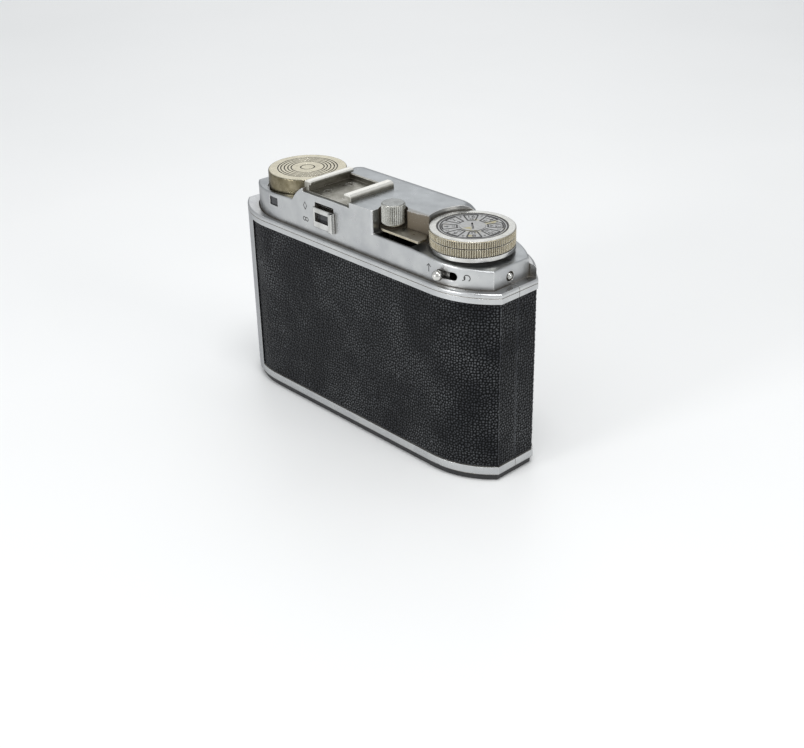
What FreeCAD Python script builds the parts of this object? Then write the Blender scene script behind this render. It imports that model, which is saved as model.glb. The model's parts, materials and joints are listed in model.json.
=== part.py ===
import FreeCAD, Part
import math
import os
from collections import namedtuple

# Folding 35 mm camera, closed. Millimetres, +Z up, the front faces -Y.
# The origin is the centre of the base plate's underside.
# Leather height 56 mm sets the size: a film cassette between two decks.

# ---- driving dimensions -------------------------------------------------
HALF_LENGTH = 60.4          # centre to a flat end face
STRAIGHT = 39.7             # centre to where the front and rear faces start to curve
CORNER_Y = 8.0              # half width of the flat end face
HALF_DEPTH = 17.2           # centre to the front or rear face
SEAM_Y = 0.3                # the back cover meets the front shell here
SEAM_GAP = 0.1              # each side of the seam

BASE_TOP = 1.9              # base plate thickness
SHELL_BOTTOM = 2.2
LEATHER_BOTTOM = 5.16
LEATHER_TOP = 61.2
SHELL_TOP = 64.4
EAR_TOP = 68.4              # the front shell's raised collar
DECK_LOW = (3.5, 5.1)       # bottom deck of the frame, z from and to
DECK_HIGH = (61.3, 63.1)    # top deck
CLEAR = 0.3                 # running clearance between bodies

RIM_EDGE = 0.6              # rounding of the rims
LEATHER_SINK = 0.3          # leather face below the rim face
LEATHER_THICK = 0.6
WALL = 1.9                  # rim face to the shell's inner face
LEATHER_END_X = 48.4        # bare metal beyond this, at the hinge end

HOUSE_LENGTH = 56.8         # top housing: centre to the end face at the advance knob
HOUSE_STRAIGHT = 38.0
HOUSE_LEFT_SHORTER = 2.7    # the rewind end is this much nearer the centre
HOUSE_CORNER = 7.7
HOUSE_DEPTH = 15.2
HOUSE_WALL = 1.0
LOW_RIGHT = 72.2            # deck under the advance knob
SLOPE_END = 70.4            # the deck falls to this at the end face
LEFT_SLOPE_END = 72.2
RING_SEAT = 71.6            # recess for the frame counter ring
LOW_LEFT = 73.8             # deck around the rewind knob
RAISED_TOP = 79.8
RAISED_RIGHT = -12.5        # rear corner of the raised section
RAISED_ARM = (-34.0, 26.5)  # its front part reaches past both knobs
RAMP_FOOT = 26.6            # rear-left ramp of the raised section
RAMP_HEAD = 19.8
RAMP_FRONT = 0.0
FRONT_ROUND = 5.5           # rounding of the housing's front top edge

ADVANCE = (-40.7, 0.0)      # advance knob axis
REWIND = (36.5, 0.0)        # rewind knob axis
SPROCKET = (-26.5, 6.1)
BUTTON = (-15.9, 9.3)       # release button axis
KNOB_R = 13.16
REWIND_R = 13.36
KNURLS = 110

BAY_X = 21.6                # half width of the bay for the folded lens
BAY_WALL = 1.2
GATE_Y = (10.5, 12.0)       # film gate plate
GATE_HALF = (18.0, 12.0)    # 36 x 24 film gate
LENS_Z = 33.2               # optical axis height
LENS_TRAVEL = 27.0          # standard's run out of the body

DOOR_HALF = 27.0
DOOR_Z = (9.4, 60.0)
DOOR_Y = (-21.6, -20.5)     # door plate, outer and inner face
DOOR_PIN = (-19.4, 7.6)     # y, z of the front door's hinge
BACK_PIN = (61.0, SEAM_Y)   # x, y of the back cover's hinge
PIN_R = 0.7
KNUCKLE_R = 1.5
FIT = 0.05                  # radial clearance of pins and shafts
COVER_KNUCKLES = ((12.0, 21.0), (45.4, 54.4))
SHELL_KNUCKLES = ((21.3, 45.1),)
DOOR_KNUCKLES = ((-17.0, -9.0), (9.0, 17.0))
LUG_SPANS = ((-23.0, -17.3), (-8.7, 8.7), (17.3, 23.0))
LATCH_HALF = 4.0
LATCH_Z = (61.9, 63.0)

TRIPOD = (30.0, 0.0)
TRIPOD_R = 6.0              # bush outside
TRIPOD_THREAD_R = 2.55      # 1/4-20 UNC minor radius
BASE_SCREWS = [(sx * 50.0, sy * 6.0) for sx in (-1, 1) for sy in (-1, 1)]
BASE_INSET = 4.0            # the shell's bottom opening, inside its outline
BASE_HOLE_R = 1.2

GATE_SIDE = 19.2            # narrow side of the bay behind the standard
CHAMBER_R = (13.4, 14.4)
BUSH_R = 4.0
SHAFT_R = 2.2               # advance shaft
REWIND_SHAFT_R = 1.8
SLEEVE_R = 2.9
SPROCKET_PIN_R = 1.5
SPOOL_PIN_R = 1.5
SPOOL_TOP = 58.5
SPOOL_BOTTOM = 6.6
AXLE_SINK = 0.8             # depth of the sprocket's and spool's bearings in the decks

BUTTON_R = 3.8
BUTTON_TOP = 82.0
BUTTON_FOOT = 75.0
ARM_Z = (73.6, 74.3)
KNOB_BOTTOM = 73.3
KNOB_TOP = 78.35
KNURL_TOP = 77.9            # the knob's smooth bezel starts here
DIAL_R = 10.95
DIAL_SCREW_R = 4.0
REWIND_TOP = 78.85
REWIND_BOTTOM = 72.4
REWIND_GROOVES = (10.1, 9.1, 7.9, 6.7, 5.6)
GROOVE_HALF = 0.2

SHOE_X = (-1.8, 20.8)
SHOE_Y = (-4.2, 14.2)
SHOE_FLOOR = 77.9
SHOE_THICK = 0.4
SHOE_LIP = (80.4, 81.8)     # rail lips, z from and to
SHOE_WALL = 1.95
SHOE_REACH = 3.2            # outer face of a rail to the edge of its lip
SHOE_SCREWS = [(x, y) for x in (5.0, 14.0) for y in (0.5, 10.0)]
SHOE_SCREW_R = 1.5          # flush head
RF_EYE = ((34.6, 39.0), (69.0, 72.0))           # windows: x range, z range
VF_WINDOW = ((8.1, 14.6), (69.5, 72.6))
VF_SLOT = ((5.8, 15.1), (67.5, 75.8))
VF_SLIDE_TOP = 74.2
FRONT_WINDOWS = [((7.5, 16.5), (67.0, 74.0)), ((19.5, 23.5), (68.8, 72.8)), ((-10.0, -6.0), (68.8, 72.8))]
STUD = (0.67, 66.9)         # y, z of the back release button
STUD_R = 1.2
STUD_HOLE_R = 1.6
SLOT_TURN = (7.4, 17.6)     # degrees along the curved wall, from its start, to the slot's end centres
SLOT_R = 1.3
SELECTOR_Z = 67.7
SELECTOR_TURN = 8.5

STAY_X = (20.5, 21.1)
STAY_R = (17.0, 14.6)
STRUT_PIN = (-15.8, 53.5)   # y, z of the struts' pivot in the bay walls
STRUT_LONG = 17.5
STRUT_HALF = 1.6
STRUT_TURN = 44.0           # degrees behind straight down when folded
STANDARD_Y = (-4.0, -2.8)
SHUTTER_R = 18.0
SHUTTER_Y = (-12.6, -4.0)
BARREL_R = 11.4

BIG = 200.0
V = FreeCAD.Vector
Z_UP = V(0, 0, 1)
FORWARD = V(0, -1, 0)
Plan = namedtuple("Plan", "half_length straight corner depth")

BODY_PLAN = Plan(HALF_LENGTH, STRAIGHT, CORNER_Y, HALF_DEPTH)
HOUSE_PLAN = Plan(HOUSE_LENGTH, HOUSE_STRAIGHT, HOUSE_CORNER, HOUSE_DEPTH)
HOUSE_LEFT_PLAN = HOUSE_PLAN._replace(half_length=HOUSE_LENGTH - HOUSE_LEFT_SHORTER,
                                      straight=HOUSE_STRAIGHT - HOUSE_LEFT_SHORTER)


# ---- shape helpers ------------------------------------------------------
def box(x, y, z):
    """Box from (low, high) pairs."""
    size = [high - low for low, high in (x, y, z)]
    return Part.makeBox(*size, V(x[0], y[0], z[0]))


def rod(radius, centre, z):
    """Upright cylinder at centre (x, y) over z (low, high)."""
    return Part.makeCylinder(radius, z[1] - z[0], V(centre[0], centre[1], z[0]))


def tube(outer, inner, centre, z):
    return rod(outer, centre, z).cut(rod(inner, centre, z))


def lens_rod(radius, y, x=0.0, z=LENS_Z):
    """Cylinder along the optical direction, over y (front, back)."""
    return Part.makeCylinder(radius, y[1] - y[0], V(x, y[1], z), FORWARD)


def lens_tube(outer, inner, y):
    return lens_rod(outer, y).cut(lens_rod(inner, y))


def x_rod(radius, x, y, z):
    """Cylinder along X over x (low, high)."""
    return Part.makeCylinder(radius, x[1] - x[0], V(x[0], y, z), V(1, 0, 0))


def fuse(*shapes):
    return shapes[0].multiFuse(list(shapes[1:])).removeSplitter()


def group(*shapes):
    return Part.makeCompound(list(shapes))


def prism(points, z):
    """Upright prism over a closed outline of (x, y) points."""
    loop = [V(x, y, z[0]) for x, y in points]
    face = Part.Face(Part.makePolygon(loop + loop[:1]))
    return face.extrude(V(0, 0, z[1] - z[0]))


def rear_view_prism(points, y):
    """Prism along Y over a closed outline of (x, z) points."""
    loop = [V(x, y[0], z) for x, z in points]
    face = Part.Face(Part.makePolygon(loop + loop[:1]))
    return face.extrude(V(0, y[1] - y[0], 0))


def knurled(radius, depth, count, centre, z):
    """Cylinder with a straight knurl of `count` ridges."""
    points = []
    for step in range(2 * count):
        turn = math.pi * step / count
        reach = radius - depth * (step % 2)
        points.append((centre[0] + reach * math.cos(turn), centre[1] + reach * math.sin(turn)))
    return prism(points, z)


def arc_radius(plan):
    run = plan.half_length - plan.straight
    drop = plan.depth - plan.corner
    return (run ** 2 + drop ** 2) / (2 * drop)


def inset(plan, by):
    """The plan moved inward by a distance, or outward when it is negative."""
    radius = arc_radius(plan)
    half_length = plan.half_length - by
    rise = math.sqrt((radius - by) ** 2 - (half_length - plan.straight) ** 2)
    return Plan(half_length, plan.straight, plan.depth - radius + rise, plan.depth - by)


def plan_solid(plan, z):
    """Prism over the camera's outline: straight faces, curved shoulders, flat ends."""
    radius = arc_radius(plan)
    centre_y = plan.depth - radius
    half_turn = math.asin((plan.half_length - plan.straight) / radius) / 2
    mid_x = plan.straight + radius * math.sin(half_turn)
    mid_y = centre_y + radius * math.cos(half_turn)

    def at(x, y):
        return V(x, y, z[0])

    def curve(sx, sy, start, end):
        return Part.Arc(at(*start), at(sx * mid_x, sy * mid_y), at(*end)).toShape()

    def line(start, end):
        return Part.makeLine(at(*start), at(*end))

    length, run, corner, depth = plan
    edges = [
        line((-run, depth), (run, depth)), curve(1, 1, (run, depth), (length, corner)),
        line((length, corner), (length, -corner)), curve(1, -1, (length, -corner), (run, -depth)),
        line((run, -depth), (-run, -depth)), curve(-1, -1, (-run, -depth), (-length, -corner)),
        line((-length, -corner), (-length, corner)), curve(-1, 1, (-length, corner), (-run, depth)),
    ]
    return Part.Face(Part.Wire(edges)).extrude(V(0, 0, z[1] - z[0]))


def near(value, target):
    return abs(value - target) < 0.01


def rounded(shape, radius, wanted):
    """Fillet the edges whose centre of mass satisfies a test."""
    edges = [edge for edge in shape.Edges if wanted(edge.CenterOfMass)]
    return shape.makeFillet(radius, edges)


def house_prism(by, z):
    """Prism over the housing's outline, moved inward by a distance."""
    right = plan_solid(inset(HOUSE_PLAN, by), z).common(box((-BIG, 0), (-BIG, BIG), z))
    left = plan_solid(inset(HOUSE_LEFT_PLAN, by), z).common(box((0, BIG), (-BIG, BIG), z))
    return fuse(right, left)


def rear_part(shape):
    return shape.common(box((-BIG, BIG), (SEAM_Y + SEAM_GAP, BIG), (-BIG, BIG)))


def front_part(shape):
    return shape.common(box((-BIG, BIG), (-BIG, SEAM_Y - SEAM_GAP), (-BIG, BIG)))


SELECTOR_CENTRE = (-HOUSE_STRAIGHT, HOUSE_DEPTH - arc_radius(HOUSE_PLAN))


# ---- body shells --------------------------------------------------------
def band(outer, inner, z):
    """Ring between two insets of the body's outline."""
    return plan_solid(inset(BODY_PLAN, outer), z).cut(plan_solid(inset(BODY_PLAN, inner), z))


def shell_outside():
    """Both shells' outside: rims, leather recess, shallow groove in the top rim."""
    outside = plan_solid(BODY_PLAN, (SHELL_BOTTOM, SHELL_TOP))
    outside = rounded(outside, RIM_EDGE, lambda c: near(c.z, SHELL_BOTTOM) or near(c.z, SHELL_TOP))
    leather_z = (LEATHER_BOTTOM, LEATHER_TOP)
    groove_z = (SHELL_TOP - 1.5, SHELL_TOP - 1.25)
    groove = band(-1, 0.2, groove_z)
    recess = band(-1, LEATHER_SINK + LEATHER_THICK, leather_z)
    recess = recess.common(box((-BIG, LEATHER_END_X), (-BIG, BIG), (0, BIG)))
    return outside.cut(recess).cut(groove)


def leather_band():
    """Both leathers, before they are cut to their side of the seam."""
    leather_z = (LEATHER_BOTTOM + 0.05, LEATHER_TOP - 0.05)
    skin = band(LEATHER_SINK, LEATHER_SINK + LEATHER_THICK, leather_z)
    return skin.common(box((-BIG, LEATHER_END_X - 0.05), (-BIG, BIG), (0, BIG)))


def back_knuckles(spans):
    """Hinge barrels at the end face, over the given z spans."""
    return [tube(KNUCKLE_R, PIN_R + FIT, BACK_PIN, span) for span in spans]


def knuckle_notches(spans):
    return [rod(KNUCKLE_R + CLEAR, BACK_PIN, (low - CLEAR, high + CLEAR)) for low, high in spans]


def make_back_cover():
    cavity = plan_solid(inset(BODY_PLAN, WALL), (SHELL_BOTTOM + 1, SHELL_TOP - 1))
    over_house = house_prism(-0.45, (SHELL_TOP - 1, SHELL_TOP))
    under_base = plan_solid(inset(BODY_PLAN, BASE_INSET), (SHELL_BOTTOM, SHELL_BOTTOM + 1))
    cover = rear_part(shell_outside().cut(cavity).cut(over_house).cut(under_base))
    for notch in knuckle_notches(SHELL_KNUCKLES):
        cover = cover.cut(notch)
    cover = fuse(cover, *back_knuckles(COVER_KNUCKLES))
    return cover.cut(rod(PIN_R + FIT, BACK_PIN, (0, BIG)))


def make_front_shell():
    cavity = plan_solid(inset(BODY_PLAN, WALL), (DECK_LOW[0], DECK_HIGH[1]))
    over_house = house_prism(0, (DECK_HIGH[1], SHELL_TOP))
    under_base = plan_solid(inset(BODY_PLAN, BASE_INSET), (SHELL_BOTTOM, DECK_LOW[0]))
    shell = front_part(shell_outside().cut(cavity).cut(over_house).cut(under_base))
    collar_z = (SHELL_TOP - 1, EAR_TOP)
    collar = plan_solid(inset(BODY_PLAN, RIM_EDGE), collar_z)
    collar = rounded(collar, 1.2, lambda c: near(c.z, EAR_TOP))
    collar = collar.cut(house_prism(0, collar_z))
    collar = collar.common(box((-BIG, BIG), (-BIG, -CORNER_Y), (0, BIG)))
    shell = fuse(shell, collar)
    shell = shell.cut(box((-BAY_X, BAY_X), (-BIG, 0), (8.0, 58.0)))
    play = 0.15
    latch_z = (LATCH_Z[0] - play, LATCH_Z[1] + play)
    shell = shell.cut(box((-LATCH_HALF - play, LATCH_HALF + play), (-BIG, WALL - HALF_DEPTH), latch_z))
    for notch in knuckle_notches(COVER_KNUCKLES):
        shell = shell.cut(notch)
    shell = fuse(shell, *back_knuckles(SHELL_KNUCKLES), *door_lugs())
    shell = shell.cut(rod(PIN_R + FIT, BACK_PIN, (0, BIG)))
    return shell.cut(x_rod(PIN_R + FIT, (-BIG, BIG), *DOOR_PIN))


def make_front_leather():
    leather = front_part(leather_band())
    leather = leather.cut(box((-DOOR_HALF, DOOR_HALF), (-BIG, 0), (0, BIG)))
    return leather


def make_back_leather():
    return rear_part(leather_band())


def make_base_plate():
    foot = plan_solid(inset(BODY_PLAN, 0.9), (0, BASE_TOP))
    foot = rounded(foot, 0.4, lambda c: near(c.z, 0))
    boss = plan_solid(inset(BODY_PLAN, BASE_INSET + CLEAR), (BASE_TOP, DECK_LOW[0]))
    plate = fuse(foot, boss)
    plate = plate.cut(rod(TRIPOD_R, TRIPOD, (0, DECK_LOW[0])))
    for x, y in BASE_SCREWS:
        plate = plate.cut(rod(2.4, (x, y), (0, 1.2))).cut(rod(BASE_HOLE_R, (x, y), (0, DECK_LOW[0])))
    return plate


def make_tripod_bush():
    bush = rod(TRIPOD_R, TRIPOD, (0, DECK_LOW[0]))
    return bush.cut(rod(TRIPOD_THREAD_R, TRIPOD, (0, DECK_LOW[0])))


def slotted_screw(head_r, shank_r, centre, z_head, z_shank):
    """Screw whose slotted head faces away from its shank."""
    head = rod(head_r, centre, tuple(sorted(z_head)))
    shank = rod(shank_r, centre, tuple(sorted(z_shank)))
    face = z_head[0]
    depth = (z_head[1] - z_head[0]) * 0.4
    slot_z = tuple(sorted((face, face + depth)))
    x, y = centre
    return head.fuse(shank).cut(box((x - BIG, x + BIG), (y - 0.25, y + 0.25), slot_z))


def make_base_screws():
    return group(*[slotted_screw(2.35, 1.15, at, (0.15, 1.2), (1.2, 4.9)) for at in BASE_SCREWS])


# ---- frame --------------------------------------------------------------
def deck(z):
    """Frame deck: against the front shell, and clear of the back cover."""
    rear = plan_solid(inset(BODY_PLAN, WALL + CLEAR), z)
    front = plan_solid(inset(BODY_PLAN, WALL), z).common(box((-BIG, BIG), (-BIG, -1), z))
    return fuse(rear, front)


def make_top_deck():
    plate = deck(DECK_HIGH)
    for centre in (REWIND, ADVANCE):
        plate = plate.cut(rod(BUSH_R, centre, DECK_HIGH))
    return plate.cut(rod(SPROCKET_PIN_R + FIT, SPROCKET, (DECK_HIGH[0], DECK_HIGH[0] + AXLE_SINK + 0.1)))


def make_bottom_deck():
    plate = deck(DECK_LOW)
    for centre, radius in ((SPROCKET, SPROCKET_PIN_R), (ADVANCE, SPOOL_PIN_R)):
        plate = plate.cut(rod(radius + FIT, centre, (DECK_LOW[1] - AXLE_SINK, DECK_LOW[1])))
    for at in BASE_SCREWS:
        plate = plate.cut(rod(BASE_HOLE_R, at, (DECK_LOW[0], DECK_LOW[1] - 0.1)))
    return plate


def make_film_frame():
    """Bay walls, film gate with its rails, and the round film chambers."""
    room_z = (DECK_LOW[1], DECK_HIGH[0])
    front_y = WALL - HALF_DEPTH
    left_wall = box((BAY_X, BAY_X + BAY_WALL), (front_y, GATE_Y[1]), room_z)
    right_front = box((-BAY_X - BAY_WALL, -BAY_X), (front_y, -0.5), room_z)
    right_step = box((-BAY_X - BAY_WALL, -GATE_SIDE), (-1.5, -0.5), room_z)
    right_rear = box((-GATE_SIDE - 0.8, -GATE_SIDE), (-1.5, GATE_Y[1]), room_z)
    gate = box((-GATE_SIDE, BAY_X), GATE_Y, room_z)
    gate = gate.cut(box((-GATE_HALF[0], GATE_HALF[0]), GATE_Y,
                        (LENS_Z - GATE_HALF[1], LENS_Z + GATE_HALF[1])))
    rails = [box((-GATE_SIDE, BAY_X), (GATE_Y[1], GATE_Y[1] + 0.4), (LENS_Z + at, LENS_Z + at + 1))
             for at in (-19.2, -14.0, 13.0, 18.2)]
    return fuse(left_wall, right_front, right_step, right_rear, gate, *rails)


def make_film_chambers():
    """Cassette chamber on the left, take-up chamber on the right."""
    return group(chamber(REWIND, (BAY_X + BAY_WALL, BIG)), chamber(ADVANCE, (-BIG, -BAY_X - 2)))


def chamber(centre, x_range):
    """Front half of a round film chamber."""
    room = tube(CHAMBER_R[1], CHAMBER_R[0], centre, (DECK_LOW[1], DECK_HIGH[0]))
    return room.common(box(x_range, (-BIG, -0.6), (0, BIG)))


# ---- top housing --------------------------------------------------------
def raised_block(shrink):
    """Raised section with rounded front corners and a rounded front top edge."""
    rear = HOUSE_DEPTH - shrink
    right = RAISED_RIGHT + shrink
    arm_right = RAISED_ARM[0] + shrink
    arm_left = RAISED_ARM[1] - shrink
    points = [(RAMP_HEAD, rear), (right, rear), (right, 7.4), (-20.6 + shrink, 7.4),
              (-28.4 + shrink, 6.1), (arm_right, -3.0), (arm_right, -rear), (arm_left, -rear),
              (arm_left, -7.0), (22.5 - shrink, 0.0), (RAMP_HEAD, 0.0)]
    block = prism(points, (DECK_HIGH[1], RAISED_TOP - shrink))
    for x, radius in ((arm_right, 9.0), (arm_left, 6.0)):
        block = rounded(block, radius - shrink, lambda c: near(c.x, x) and near(c.y, -rear))
    block = rounded(block, 0.6, lambda c: near(c.x, right) and near(c.y, rear))
    top = RAISED_TOP - shrink
    block = rounded(block, FRONT_ROUND - shrink, lambda c: near(c.z, top) and c.y < -8.0)
    return block


def ramp(grow):
    """Left end of the raised section: a slope that rises to the top, along Y."""
    top = RAISED_TOP + grow
    foot = RAMP_FOOT + grow
    brow = [(26.0, 74.6), (25.0, 75.9), (23.8, 77.1), (22.6, 78.1), (21.3, 78.9)]
    points = [(RAMP_HEAD - 1, LOW_RIGHT - 2), (foot, LOW_RIGHT - 2), (foot, LOW_LEFT + grow)]
    points += [(x + grow, z + grow) for x, z in brow]
    points += [(RAMP_HEAD, top), (RAMP_HEAD - 1, top)]
    return rear_view_prism(points, (RAMP_FRONT, HOUSE_DEPTH + grow))


def end_slope(start, end, shrink):
    """What a deck's gentle fall, from start to end (x, z), takes away."""
    reach = 2 * end[0] - start[0]
    low = 2 * end[1] - start[1]
    points = ((start[0], start[1] - shrink), (reach, low - shrink), (reach, BIG), (start[0], BIG))
    return rear_view_prism(points, (-BIG, BIG))


def house_solid(shrink):
    """The housing as one block, or its inner space when shrunk by the wall."""
    bottom = DECK_HIGH[1]
    right = house_prism(shrink, (bottom, LOW_RIGHT - shrink))
    right = right.cut(end_slope((-29.0, LOW_RIGHT), (-HOUSE_LENGTH, SLOPE_END), shrink))
    left = house_prism(shrink, (bottom, LOW_LEFT - shrink)).common(box((10, BIG), (-BIG, BIG), (0, BIG)))
    left = left.cut(end_slope((29.0, LOW_LEFT), (HOUSE_LEFT_PLAN.half_length, LEFT_SLOPE_END), shrink))
    if shrink == 0:
        left = rounded(left, 0.5, lambda c: c.z > LEFT_SLOPE_END - 0.1 and c.x > 11)
        right = rounded(right, 0.5, lambda c: c.z > SLOPE_END - 0.1)
    solid = fuse(right, left, raised_block(shrink), ramp(-shrink))
    pocket_r = BUTTON_R + 0.8 + shrink
    solid = solid.cut(rod(pocket_r, BUTTON, (LOW_RIGHT - shrink, BIG)))
    solid = solid.cut(rod(KNOB_R + 0.7 + shrink, ADVANCE, (RING_SEAT - shrink, BIG)))
    return solid.cut(rod(REWIND_R + 0.5 + shrink, REWIND, (LOW_RIGHT - shrink, BIG)))


def sector(outer, inner, centre, turns, z):
    """Part of a ring; turns are degrees from +Y towards -X."""
    points = []
    for turn in turns:
        angle = math.radians(90 + turn)
        points.append((centre[0] + BIG * math.cos(angle), centre[1] + BIG * math.sin(angle)))
    wedge = prism([centre, points[0], points[1]], z)
    return tube(outer, inner, centre, z).common(wedge)


def wall_out(turn):
    """Outward direction of the curved wall at a turn, in degrees from its start."""
    angle = math.radians(90 + turn)
    return V(math.cos(angle), math.sin(angle), 0)


def selector_slot():
    """Round-ended slot through the curved wall for the rewind selector."""
    radius = arc_radius(HOUSE_PLAN)
    slot_z = (SELECTOR_Z - SLOT_R, SELECTOR_Z + SLOT_R)
    slot = sector(radius + 1, radius - 2, SELECTOR_CENTRE, SLOT_TURN, slot_z)
    for turn in SLOT_TURN:
        start = V(*SELECTOR_CENTRE, SELECTOR_Z) + wall_out(turn) * (radius - 2)
        slot = slot.fuse(Part.makeCylinder(SLOT_R, 3, start, wall_out(turn)))
    return slot


def make_top_housing():
    house = house_solid(0).cut(house_solid(HOUSE_WALL))
    roof_z = (SHOE_FLOOR - 1.0, SHOE_FLOOR)
    house = house.fuse(box((SHOE_X[0] - 1, SHOE_X[1] + 1), (SHOE_Y[0] - 1, HOUSE_DEPTH), roof_z))
    house = house.cut(box((SHOE_X[0] - 0.1, SHOE_X[1] + 0.1), (SHOE_Y[0] - 0.1, BIG), (SHOE_FLOOR, BIG)))
    house = house.cut(box((-28.5, RAISED_RIGHT - 0.2), (6.0, 14.2), (LOW_RIGHT - 1.5, LOW_RIGHT + 1)))
    house = house.cut(selector_slot())
    for window in (RF_EYE, VF_SLOT):
        house = house.cut(box(window[0], (HOUSE_DEPTH - 2, BIG), window[1]))
    for window in FRONT_WINDOWS:
        house = house.cut(box(window[0], (-BIG, 2 - HOUSE_DEPTH), window[1]))
    house = house.cut(x_rod(STUD_HOLE_R, (-BIG, 4 - HOUSE_LENGTH), *STUD))
    for centre, radius in ((REWIND, 3.3), (ADVANCE, 3.3), (BUTTON, 1.6)):
        house = house.cut(rod(radius, centre, (LOW_RIGHT - 3, BIG)))
    for at in SHOE_SCREWS:
        house = house.cut(rod(0.85, at, (SHOE_FLOOR - 2, SHOE_FLOOR)))
        house = house.cut(rod(SHOE_SCREW_R + FIT, at, (SHOE_FLOOR - 0.3, SHOE_FLOOR)))
    return house.removeSplitter()


def make_accessory_shoe():
    floor_top = SHOE_FLOOR + SHOE_THICK
    rails = []
    for x, inward in ((SHOE_X[0], 1), (SHOE_X[1], -1)):
        wall_x = tuple(sorted((x, x + SHOE_WALL * inward)))
        lip_x = tuple(sorted((x, x + SHOE_REACH * inward)))
        rail = fuse(box(wall_x, SHOE_Y, (SHOE_FLOOR, SHOE_LIP[1])), box(lip_x, SHOE_Y, SHOE_LIP))
        rail = rounded(rail, 1.3, lambda c: near(c.z, SHOE_LIP[1]) and near(c.x, x))
        rail = rounded(rail, 0.5, lambda c: near(c.x, x + SHOE_REACH * inward) and near(c.y, sum(SHOE_Y) / 2))
        rails.append(rail)
    floor = box(SHOE_X, SHOE_Y, (SHOE_FLOOR, floor_top))
    stop = box(SHOE_X, (SHOE_Y[0], SHOE_Y[0] + 0.8), (SHOE_FLOOR, RAISED_TOP))
    shoe = fuse(floor, stop, *rails)
    for at in SHOE_SCREWS:
        shoe = shoe.cut(rod(SHOE_SCREW_R + FIT, at, (SHOE_FLOOR, floor_top)))
    return shoe


def make_shoe_screws():
    """Flush screws whose heads fill the holes in the shoe's floor."""
    head_z = (SHOE_FLOOR + SHOE_THICK - 0.02, SHOE_FLOOR - 0.3)
    shank_z = (SHOE_FLOOR - 1.4, SHOE_FLOOR - 0.3)
    return group(*[slotted_screw(SHOE_SCREW_R, 0.8, at, head_z, shank_z) for at in SHOE_SCREWS])


def window_pane(window, y, play=0.05):
    (x0, x1), (z0, z1) = window
    return box((x0 + play, x1 - play), y, (z0 + play, z1 - play))


def make_front_windows():
    return group(*[window_pane(window, (0.4 - HOUSE_DEPTH, 1.2 - HOUSE_DEPTH)) for window in FRONT_WINDOWS])


def make_rangefinder_eyepiece():
    return window_pane(RF_EYE, (HOUSE_DEPTH - 1.4, HOUSE_DEPTH - 0.6))


def make_rangefinder_mirrors():
    """Eyepiece prism, half mirror and full mirror, on one plate above the deck."""
    plate = box((-12, 40), (6.0, 12.5), (DECK_HIGH[1], DECK_HIGH[1] + 0.8))
    plate = plate.cut(rod(BUTTON_R, BUTTON, (0, BIG)))
    blocks = []
    for x in (36.0, 21.5, -8.0):
        points = [(x - 2.6, 6.6), (x - 1.6, 6.6), (x + 3.0, 11.2),
                  (x + 3.0, 12.2), (x + 2.0, 12.2), (x - 2.6, 7.6)]
        blocks.append(prism(points, (DECK_HIGH[1] + 0.8, 70.8)))
    return fuse(plate, *blocks)


def make_viewfinder_front_lens():
    pane = box((7.0, 17.0), (2.4 - HOUSE_DEPTH, 4.4 - HOUSE_DEPTH), (66.5, 74.5))
    foot = box((7.0, 17.0), (2.4 - HOUSE_DEPTH, 4.4 - HOUSE_DEPTH), (DECK_HIGH[1], 66.5))
    return fuse(pane, foot)


# ---- controls on the housing -------------------------------------------
def make_viewfinder_slide():
    """Window frame and thumb grip, on a tongue from the plate that closes the slot inside."""
    face_y = (HOUSE_DEPTH + 0.1, HOUSE_DEPTH + 0.6)
    grip_y = (face_y[0], HOUSE_DEPTH + 1.6)
    frame = box((VF_SLOT[0][0] - 0.5, 15.6), face_y, (VF_SLOT[1][0] - 0.1, VF_SLIDE_TOP))
    frame = rounded(frame, 0.3, lambda c: near(c.y, face_y[1]))
    grip = box((VF_SLOT[0][0] - 0.4, VF_WINDOW[0][0] - 0.9), grip_y, (VF_SLOT[1][0], VF_SLIDE_TOP - 0.1))
    grip = rounded(grip, 0.45, lambda c: near(c.y, grip_y[1]))
    tongue = box((VF_SLOT[0][0] + 0.3, VF_SLOT[0][1] - 0.3), (HOUSE_DEPTH - 1.6, face_y[0]),
                 (VF_SLOT[1][0] + 0.3, VF_SLIDE_TOP - 0.9))
    back = box((VF_SLOT[0][0] - 0.8, VF_SLOT[0][1] + 0.9), (HOUSE_DEPTH - 1.9, HOUSE_DEPTH - 1.1),
               (VF_SLOT[1][0] - 0.9, VF_SLIDE_TOP + 0.6))
    slide = fuse(frame, grip, tongue, back)
    return slide.cut(box(VF_WINDOW[0], (0, BIG), VF_WINDOW[1]))


def make_viewfinder_eyepiece():
    return box(VF_WINDOW[0], (HOUSE_DEPTH - 1.4, HOUSE_DEPTH - 0.6), VF_WINDOW[1])


def make_rewind_selector():
    """Ball-headed pin on a curved shoe that runs behind the wall."""
    radius = arc_radius(HOUSE_PLAN)
    turns = (SELECTOR_TURN - 5, SELECTOR_TURN + 5)
    shoe_z = (SELECTOR_Z - 2, SELECTOR_Z + 2)
    shoe = sector(radius - 1.15, radius - 2.0, SELECTOR_CENTRE, turns, shoe_z)
    out = wall_out(SELECTOR_TURN)
    start = V(*SELECTOR_CENTRE, SELECTOR_Z)
    neck = Part.makeCylinder(1.0, 2.9, start + out * (radius - 1.9), out)
    ball = Part.makeSphere(1.65, start + out * (radius + 1.8))
    return fuse(shoe, neck, ball)


def make_back_release_button():
    y, z = STUD
    tip = 0.5 - HOUSE_LENGTH
    stem = x_rod(STUD_R, (tip, 2.6 - HOUSE_LENGTH), y, z)
    collar = x_rod(2.3, (1.1 - HOUSE_LENGTH, 1.9 - HOUSE_LENGTH), y, z)
    return fuse(stem, collar, Part.makeSphere(STUD_R, V(tip, y, z)))


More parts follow.
